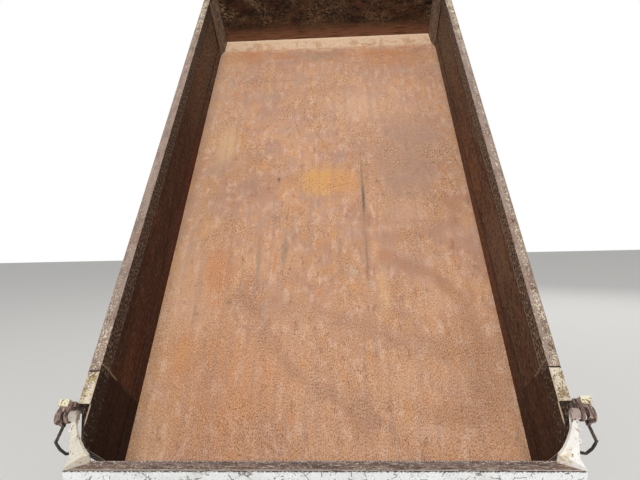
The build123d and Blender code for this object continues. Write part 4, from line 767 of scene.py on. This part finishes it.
# Each finish: its name, what makes it, its axes, metallic, specular level, and the nodes that wear it. A node
# named without its side is there on both.
FINISHES = [
    ("rubbed_rust_floor_plate", floor_plate_finish, IN_BED, 0.0, 0.2, ["floor_plate"]),
    ("brushed_rust_wall_sheet", wall_finish, IN_BED, 0.0, 0.15, ["side_wall"]),
    ("worn_rear_post", post_finish, IN_BED, 0.0, 0.25, ["rear_post"]),
    ("worn_enamel_top_rail", rail_finish, IN_BED, 0.0, 0.3, ["top_rail"]),
    ("scaled_rust_headboard", headboard_finish, IN_BED, 0.0, 0.15, ["headboard"]),
    ("sandy_rust_plate_with_painted_light", fillet_finish, IN_BED, 0.0, 0.5, ["fillet_plate"]),
    ("scraped_corner_plate", corner_finish, IN_BED, 0.0, 0.5, ["corner_plate"]),
    ("rusty_keeper", keeper_finish, IN_BED, 0.0, 0.5, ["pin_keeper"]),
    ("chipped_white_enamel", paint_finish, IN_BED, 0.0, 0.5,
     ["wall_stakes", "side_sill", "headboard_ribs", "headboard_rails", "cab_guard", "rear_sill", "long_sill",
      "bed_cross_members", "bed_hinge_ears", "hoist_ears", "latch_bearings", "rope_hooks"]),
    ("cream_enamel_arm", arm_finish, IN_GATE, 0.0, 0.5, ["hinge_arm"]),
    ("white_enamel_tailgate", gate_finish, IN_GATE, 0.0, 0.5,
     ["tailgate_panel", "tailgate_ribs", "tailgate_ends", "tailgate_foot_rail", "tailgate_strikers"]),
    ("rubbed_tailgate_top", gate_top_finish, IN_GATE, 0.0, 0.5, ["tailgate_top_rail"]),
    ("black_chassis_paint", chassis_finish, IN_SUBFRAME, 0.0, 0.5,
     ["subframe_rail", "subframe_cross_members", "hinge_brackets", "rear_cross_tube", "hoist_cross_member",
      "latch_lever", "fishplates"]),
    ("grey_hoist_enamel", hoist_finish, IN_HOIST, 0.0, 0.5, ["hoist_barrel", "hoist_gland", "hoist_rod_eye"]),
    ("rusty_forging", forging_finish, IN_BED, 0.0, 0.5, ["latch_hooks", "latch_shaft", "keeper_chain"]),
    ("greasy_turned_steel", machined_finish, IN_SUBFRAME, 1.0, 0.5, ["hinge_pins", "hoist_lower_pin"]),
    ("hard_chrome", chrome_finish, IN_HOIST, 1.0, 0.5, ["hoist_rod"]),
    ("moulded_rubber", rubber_finish, IN_SUBFRAME, 0.0, 0.5, ["rest_pads"]),
    ("dull_zinc", zinc_finish, IN_SUBFRAME, 0.8, 0.5, ["hoist_pipe"]),
    ("rusted_weld", weld_finish, IN_BED, 0.0, 0.5, []),
    ("scraped_weld", scraped_weld_finish, IN_BED, 0.0, 0.5, []),
    ("fresh_white_enamel", enamel_finish, IN_BED, 0.0, 0.5, []),
    ("chain_hose_rubber", rubber_finish, IN_BED, 0.0, 0.5, []),
]
MATERIALS = {}
for name, finish_of, place, metallic, specular, pieces in FINISHES:
    MATERIALS[name] = material(name, finish_of, place, metallic, specular)
    for node in [side + piece for piece in pieces for side in ("", "left_", "right_")]:
        if node in NODES:
            NODES[node].data.materials.clear()
            NODES[node].data.materials.append(MATERIALS[name])


# Pieces that grow along edges or on points

def node_group(name, inputs):
    """A geometry node tree with named inputs, its input node's sockets, and one geometry output."""
    tree = bpy.data.node_groups.new(name, "GeometryNodeTree")
    for label, kind in [("Geometry", "Geometry")] + inputs:
        tree.interface.new_socket(label, in_out="INPUT", socket_type="NodeSocket" + kind)
    tree.interface.new_socket("Geometry", in_out="OUTPUT", socket_type="NodeSocketGeometry")
    return tree, add(tree, "NodeGroupInput").outputs


def finished(tree, geometry, given):
    """Ends a tree: copies made real, shaded smooth, in the finish that was asked for."""
    real = add(tree, "GeometryNodeRealizeInstances", {"Geometry": geometry})
    smooth = add(tree, "GeometryNodeSetShadeSmooth", {"Geometry": real, "Shade Smooth": given["Smooth"]})
    worn = add(tree, "GeometryNodeSetMaterial", {"Geometry": smooth, "Material": given["Finish"]})
    add(tree, "NodeGroupOutput", {0: worn})
    return tree


def tubes_tree():
    """A round tube along every run of edges. Unevenness is the share of the radius by which it wanders."""
    tree, given = node_group("tubes_along_edges", [
        ("Radius", "Float"), ("Unevenness", "Float"), ("Spacing", "Float"), ("Sides", "Int"),
        ("Smooth", "Bool"), ("Finish", "Material")])
    curve = add(tree, "GeometryNodeMeshToCurve", {"Mesh": given["Geometry"]})
    fine = add(tree, "GeometryNodeResampleCurve", {"Curve": curve, "Length": given["Spacing"]}, mode="LENGTH")
    noise = add(tree, "ShaderNodeTexNoise", {"Scale": 230.0, "Detail": 1.0})
    swing = add(tree, "ShaderNodeMapRange", {"Value": noise, "From Min": 0.3, "From Max": 0.7,
                                             "To Min": -1.0})
    share = add(tree, "ShaderNodeMath", {0: swing, 1: given["Unevenness"], 2: 1.0}, operation="MULTIPLY_ADD")
    radius = add(tree, "ShaderNodeMath", {0: share, 1: given["Radius"]}, operation="MULTIPLY")
    ring = add(tree, "GeometryNodeCurvePrimitiveCircle", {"Resolution": given["Sides"], "Radius": 1.0})
    tube = add(tree, "GeometryNodeCurveToMesh", {"Curve": fine, "Profile Curve": ring, "Scale": radius,
                                                 "Fill Caps": True})
    return finished(tree, tube, given)


def copies_tree():
    """A copy of one piece on every point, turned as the point's turn attribute says."""
    tree, given = node_group("copies_on_points", [
        ("Piece", "Object"), ("Smooth", "Bool"), ("Finish", "Material")])
    turn = add(tree, "GeometryNodeInputNamedAttribute", {"Name": "turn"}, data_type="FLOAT_VECTOR")
    piece = add(tree, "GeometryNodeObjectInfo", {"Object": given["Piece"]}).outputs["Geometry"]
    copies = add(tree, "GeometryNodeInstanceOnPoints", {"Points": given["Geometry"], "Instance": piece,
                                                        "Rotation": turn})
    return finished(tree, copies, given)


def grown(name, mesh, tree, inputs, body):
    """Runs a node group on a mesh, keeps the result as a plain mesh, and hangs it on a body."""
    made = bpy.data.objects.new(name, mesh)
    bpy.context.scene.collection.objects.link(made)
    modifier = made.modifiers.new("grow", "NODES")
    modifier.node_group = tree
    for socket in tree.interface.items_tree:
        if socket.in_out == "INPUT" and socket.name in inputs:
            modifier[socket.identifier] = inputs[socket.name]
    bpy.context.view_layer.update()
    result = bpy.data.meshes.new_from_object(made.evaluated_get(bpy.context.evaluated_depsgraph_get()))
    made.modifiers.remove(modifier)
    made.data = result
    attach(made, body)
    return made


def edge_runs(name, lines, matrix):
    """A mesh of edges only, from runs of points in millimetres."""
    points, edges = [], []
    for line in lines:
        first = len(points)
        points += [matrix @ Vector(point) for point in line]
        edges += [(i, i + 1) for i in range(first, len(points) - 1)]
    mesh = bpy.data.meshes.new(name)
    mesh.from_pydata(points, edges, [])
    return mesh


def turned_points(name, points, turns):
    """A mesh of points in metres, each with the turn that its copy takes."""
    mesh = bpy.data.meshes.new(name)
    mesh.from_pydata(points, [], [])
    attribute = mesh.attributes.new("turn", "FLOAT_VECTOR", "POINT")
    for item, turn in zip(attribute.data, turns):
        item.vector = turn
    return mesh


def both_sides(lines):
    """Runs on the right side and their mirror images."""
    return lines + [[(-x, y, z) for x, y, z in line] for line in lines]


def spread(first, last, count):
    """Places at equal steps from the first to the last."""
    return [first + (last - first) * i / (count - 1) for i in range(count)]


TUBES = tubes_tree()
COPIES = copies_tree()


def weld_beads(name, lines, matrix, radius, finish, body):
    """Fillet welds: beads a few millimetres thick with the ripples of each pass."""
    settings = {"Radius": radius * MM, "Unevenness": 0.3, "Spacing": 4 * MM, "Sides": 6, "Smooth": True,
                "Finish": MATERIALS[finish]}
    return grown(name, edge_runs(name, lines, matrix), TUBES, settings, body)


def inner_welds():
    """Beads inside the bed: along the floor's turned-up edges, up the rear seams, and beside the corner
    plates."""
    seam = PLATE_SEAM + 8
    change = RAIL_LOW - 70
    corner_rear = BED_LENGTH - 95
    strip_x, seam_x, rail_x, corner_x = 802.6, 804.3, 799.6, 755
    beads = both_sides([
        [(strip_x, PLATE_SEAM, TURN_UP + 0.5), (strip_x, corner_rear - 2, TURN_UP + 0.5)],
        [(seam_x, seam, TURN_UP + 4), (seam_x, seam, change)],
        [(HALF_INNER, corner_rear, 3), (HALF_INNER, corner_rear, WALL_HEIGHT - 8)],
        [(corner_x, BED_LENGTH - 1, FILLET_REACH + 2), (corner_x, BED_LENGTH - 1, WALL_HEIGHT - 8)],
    ])
    weld_beads("inner_welds", beads, BED, 2.4, "rusted_weld", "bed")
    high = both_sides([
        [(seam_x, seam, change), (seam_x, seam, RAIL_LOW - 2)],
        [(rail_x, seam, RAIL_LOW), (rail_x, seam, WALL_HEIGHT - 4)],
    ])
    weld_beads("seam_welds", high, BED, 3.0, "scraped_weld", "bed")


def outer_welds():
    """Beads outside the bed: stakes to wall, headboard ribs to sheet, and cross members to sills."""
    lines = []
    for y in spread(STAKE_FIRST, STAKE_LAST, STAKE_COUNT):
        for edge in (y - STAKE_WIDTH / 2, y + STAKE_WIDTH / 2):
            lines.append([(WALL_OUTER, edge, -FLOOR), (WALL_OUTER, edge, RAIL_LOW - 1)])
    for y in CROSS_PLACES:
        rear = y - CROSS_WIDTH / 2
        lines.append([(SILL_INNER_FACE, rear, CROSS_LOW + 3), (SILL_INNER_FACE, rear, -FLOOR - 3)])
        lines.append([(LONG_SILL, rear, CROSS_LOW), (LONG_SILL, rear + CROSS_WIDTH, CROSS_LOW)])
    beads = both_sides(lines)
    for x in spread(-HEAD_RIB_X, HEAD_RIB_X, HEAD_RIB_COUNT):
        for edge in (x - HEAD_RIB_WIDTH / 2, x + HEAD_RIB_WIDTH / 2):
            front = BED_LENGTH + SHEET
            beads.append([(edge, front, 0), (edge, front, HEAD_HEIGHT - HEAD_RAIL - 2)])
    weld_beads("outer_welds", beads, BED, 2.5, "chipped_white_enamel", "bed")


def tailgate_welds():
    """Beads along the tailgate's pressed ribs."""
    beads = []
    for x in spread(-GATE_RIB_X, GATE_RIB_X, GATE_RIB_COUNT):
        for edge in (x - GATE_RIB_WIDTH / 2, x + GATE_RIB_WIDTH / 2):
            beads.append([(edge, GATE_INNER - SHEET, z) for z in (GATE_RIB_LOW, GATE_RIB_HIGH)])
    weld_beads("tailgate_welds", beads, GATE, 2.5, "white_enamel_tailgate", "tailgate")


def subframe_welds():
    """Beads that join the subframe's cross members to its rails."""
    lines = []
    for y in SUB_CROSS_PLACES:
        rear = y - CROSS_WIDTH / 2
        lines.append([(SUB_WEB, rear, SUB_CROSS_LOW), (SUB_WEB, rear, SUB_CROSS_LOW + SUB_CROSS_DEPTH)])
    beads = both_sides(lines)
    weld_beads("subframe_welds", beads, SUBFRAME, 3, "black_chassis_paint", "subframe")


def chain_link():
    """One oval link of round wire, lying along Y."""
    bend, straight, wire, turns, sides = 4.4, 5.5, 2.2, 16, 8
    points, faces = [], []
    for i in range(turns):
        angle = 2 * math.pi * i / turns
        shift = straight / 2 if math.sin(angle) > 0 else -straight / 2
        for j in range(sides):
            around = 2 * math.pi * j / sides
            reach = bend + wire * math.cos(around)
            points.append((reach * math.cos(angle) * MM, (reach * math.sin(angle) + shift) * MM,
                           wire * math.sin(around) * MM))
    for i in range(turns):
        for j in range(sides):
            a, b = i * sides, (i + 1) % turns * sides
            faces.append((a + j, b + j, b + (j + 1) % sides, a + (j + 1) % sides))
    mesh = bpy.data.meshes.new("chain_link")
    mesh.from_pydata(points, [], faces)
    link = bpy.data.objects.new("chain_link", mesh)
    bpy.context.scene.collection.objects.link(link)
    return link


CHAIN_TOP = (886, 66, 370)
CHAIN_ELBOW = (897, 12, 366)
CHAIN_HOSE = [(900, 14, 367), (895.5, 5, 360), (886, -8, 346), (869, -19, 330), (855, -12, 318),
              (850.5, 6, 312), (850.5, 14, 307), (850.5, 14, 305)]
LINK_PITCH = 9.9


def keeper_chain(side, link):
    """The keeper's short chain on one side: links down to an elbow, then a length inside a rubber hose."""
    name = "left" if side < 0 else "right"
    top, elbow = [BED @ Vector((side * x, y, z)) for x, y, z in (CHAIN_TOP, CHAIN_ELBOW)]
    along = elbow - top
    count = round(along.length / (LINK_PITCH * MM))
    points = [top + along * (i + 0.5) / count for i in range(count)]
    straight = along.to_track_quat("Y", "Z").to_matrix()
    quarter = Matrix.Rotation(math.radians(90), 3, "Y")
    turns = [(straight @ quarter if i % 2 else straight).to_euler() for i in range(count)]
    settings = {"Piece": link, "Smooth": True, "Finish": MATERIALS["rusty_forging"]}
    links = grown(name + "_chain_links", turned_points(name + "_chain_links", points, turns), COPIES,
                  settings, "bed")
    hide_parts(name + "_keeper_chain")
    hose = edge_runs(name + "_chain_hose", [[(side * x, y, z) for x, y, z in CHAIN_HOSE]], BED)
    settings = {"Radius": 5 * MM, "Unevenness": 0.06, "Spacing": 3 * MM, "Sides": 12, "Smooth": True,
                "Finish": MATERIALS["chain_hose_rubber"]}
    grown(name + "_chain_hose", hose, TUBES, settings, "bed")


def chain_eyes():
    """Two small painted eyes on the outside of each rear post, behind the keeper, facing up."""
    for name, y, z, reach, wire in (("upper", 46, 376, 4.5, 4), ("lower", 18, 340, 7, 5.5)):
        ring = [(HALF_OUTER + 11 + reach * math.cos(a), y + reach * math.sin(a), z)
                for a in [2 * math.pi * i / 16 for i in range(17)]]
        settings = {"Radius": wire * MM, "Unevenness": 0.0, "Spacing": 3 * MM, "Sides": 12, "Smooth": True,
                    "Finish": MATERIALS["fresh_white_enamel"]}
        rings = edge_runs(name + "_chain_eyes", both_sides([ring]), BED)
        grown(name + "_chain_eyes", rings, TUBES, settings, "bed")


def grease_nipple():
    """A grease nipple: hexagon, neck and ball, pointing along Z."""
    profile = [(5.2, -3), (5.2, 5), (3.2, 6), (2.4, 9), (3.3, 11), (3.3, 13), (1.8, 14.5)]
    sides = 12
    points = [(r * math.cos(2 * math.pi * j / sides) * MM, r * math.sin(2 * math.pi * j / sides) * MM, z * MM)
              for r, z in profile for j in range(sides)]
    faces = []
    for i in range(0, (len(profile) - 1) * sides, sides):
        for j in range(sides):
            k = (j + 1) % sides
            faces.append((i + j, i + k, i + sides + k, i + sides + j))
    faces += [tuple(range(sides))[::-1], tuple((len(profile) - 1) * sides + j for j in range(sides))]
    mesh = bpy.data.meshes.new("grease_nipple")
    mesh.from_pydata(points, [], faces)
    nipple = bpy.data.objects.new("grease_nipple", mesh)
    bpy.context.scene.collection.objects.link(nipple)
    return nipple


def grease_nipples(name, matrix, places, aim, body):
    """Nipples at places in millimetres, all pointing the same way."""
    direction = (matrix.to_3x3() @ Vector(aim)).normalized()
    turn = direction.to_track_quat("Z", "Y").to_euler()
    points = [matrix @ Vector(place) for place in places]
    piece = grease_nipple()
    grown(name, turned_points(name, points, [turn] * len(points)), COPIES,
          {"Piece": piece, "Smooth": False, "Finish": MATERIALS["dull_zinc"]}, body)
    bpy.data.objects.remove(piece)


inner_welds()
outer_welds()
tailgate_welds()
subframe_welds()
link = chain_link()
keeper_chain(-1, link)
keeper_chain(1, link)
bpy.data.objects.remove(link)
chain_eyes()
hinge_ears = [(x, HINGE_AHEAD - 36, -HINGE_BELOW) for x in (-345, 345)]
grease_nipples("hinge_nipples", BED, hinge_ears, (0, -1, 0), "bed")
grease_nipples("hoist_base_nipple", HOIST, [(0, 0, 38)], (0, 0, 1), "hoist_barrel")
grease_nipples("rod_eye_nipple", HOIST, [(0, ROD_EYE, -40)], (0, 0, -1), "hoist_rod")


# Studio

def plain_stage():
    """A pale floor under the part."""
    half = 30.0
    mesh = bpy.data.meshes.new("studio_floor")
    corners = [(-half, -half, 0), (half, -half, 0), (half, half, 0), (-half, half, 0)]
    mesh.from_pydata(corners, [], [(0, 1, 2, 3)])
    ground = bpy.data.objects.new("studio_floor", mesh)
    bpy.context.scene.collection.objects.link(ground)
    paint = bpy.data.materials.new("matt_studio_floor")
    paint.use_nodes = True
    surface = paint.node_tree.nodes["Principled BSDF"]
    surface.inputs["Base Color"].default_value = linear("#E4E3E0")
    surface.inputs["Roughness"].default_value = 0.9
    surface.inputs["Specular IOR Level"].default_value = 0.1
    mesh.materials.append(paint)


def studio_world():
    """Even light from all round, seen as white by the eye and by reflections."""
    world = bpy.data.worlds.new("studio")
    bpy.context.scene.world = world
    world.use_nodes = True
    tree = world.node_tree
    tree.nodes.clear()
    path = add(tree, "LightPath")
    seen = either(tree, path.outputs["Is Camera Ray"], path.outputs["Is Glossy Ray"],
                  path.outputs["Is Transmission Ray"])
    strength = add(tree, "Mix", {"Factor": seen, "A": 0.5, "B": 1.0})
    background = add(tree, "Background", {"Color": "#FFFFFF", "Strength": strength})
    add(tree, "OutputWorld", {"Surface": background})


def lamp(name, direction, distance, size, level):
    """A soft square lamp. A level of 1 lights a facing surface as brightly as a white world would."""
    light = bpy.data.lights.new(name, "AREA")
    light.shape = "SQUARE"
    light.size = size
    light.energy = level * math.pi * math.pi * distance ** 2
    lit = bpy.data.objects.new(name, light)
    aim = Vector(direction).normalized()
    lit.location = Vector((0, HINGE.y + 0.5, 1.2)) + aim * distance
    lit.rotation_euler = aim.to_track_quat("Z", "Y").to_euler()
    bpy.context.scene.collection.objects.link(lit)


def photo_camera():
    """The photograph's camera: behind the raised bed, level, about the height of a chest."""
    lens, sensor = 27.89, 36.0
    offset = Vector((102.1, -2115.3, 883.6)) * MM
    right = Vector((0.99848, 0.05021, -0.02262))
    forward = Vector((-0.05024, 0.99874, -0.00061))
    camera = bpy.data.cameras.new("camera")
    camera.lens = lens
    camera.sensor_width = sensor
    stand = bpy.data.objects.new("camera", camera)
    up = right.cross(forward).normalized()
    turn = Matrix((right, up, -forward)).transposed()
    stand.matrix_world = Matrix.Translation(HINGE + offset) @ turn.to_4x4()
    bpy.context.scene.collection.objects.link(stand)
    bpy.context.scene.camera = stand


plain_stage()
studio_world()
lamp("key", (-0.03, -0.88, 0.47), 14.0, 5.0, 0.6)
lamp("fill", (0.5, 0.7, 0.5), 8.0, 5.0, 0.2)
photo_camera()
bpy.context.scene.view_settings.view_transform = "Standard"
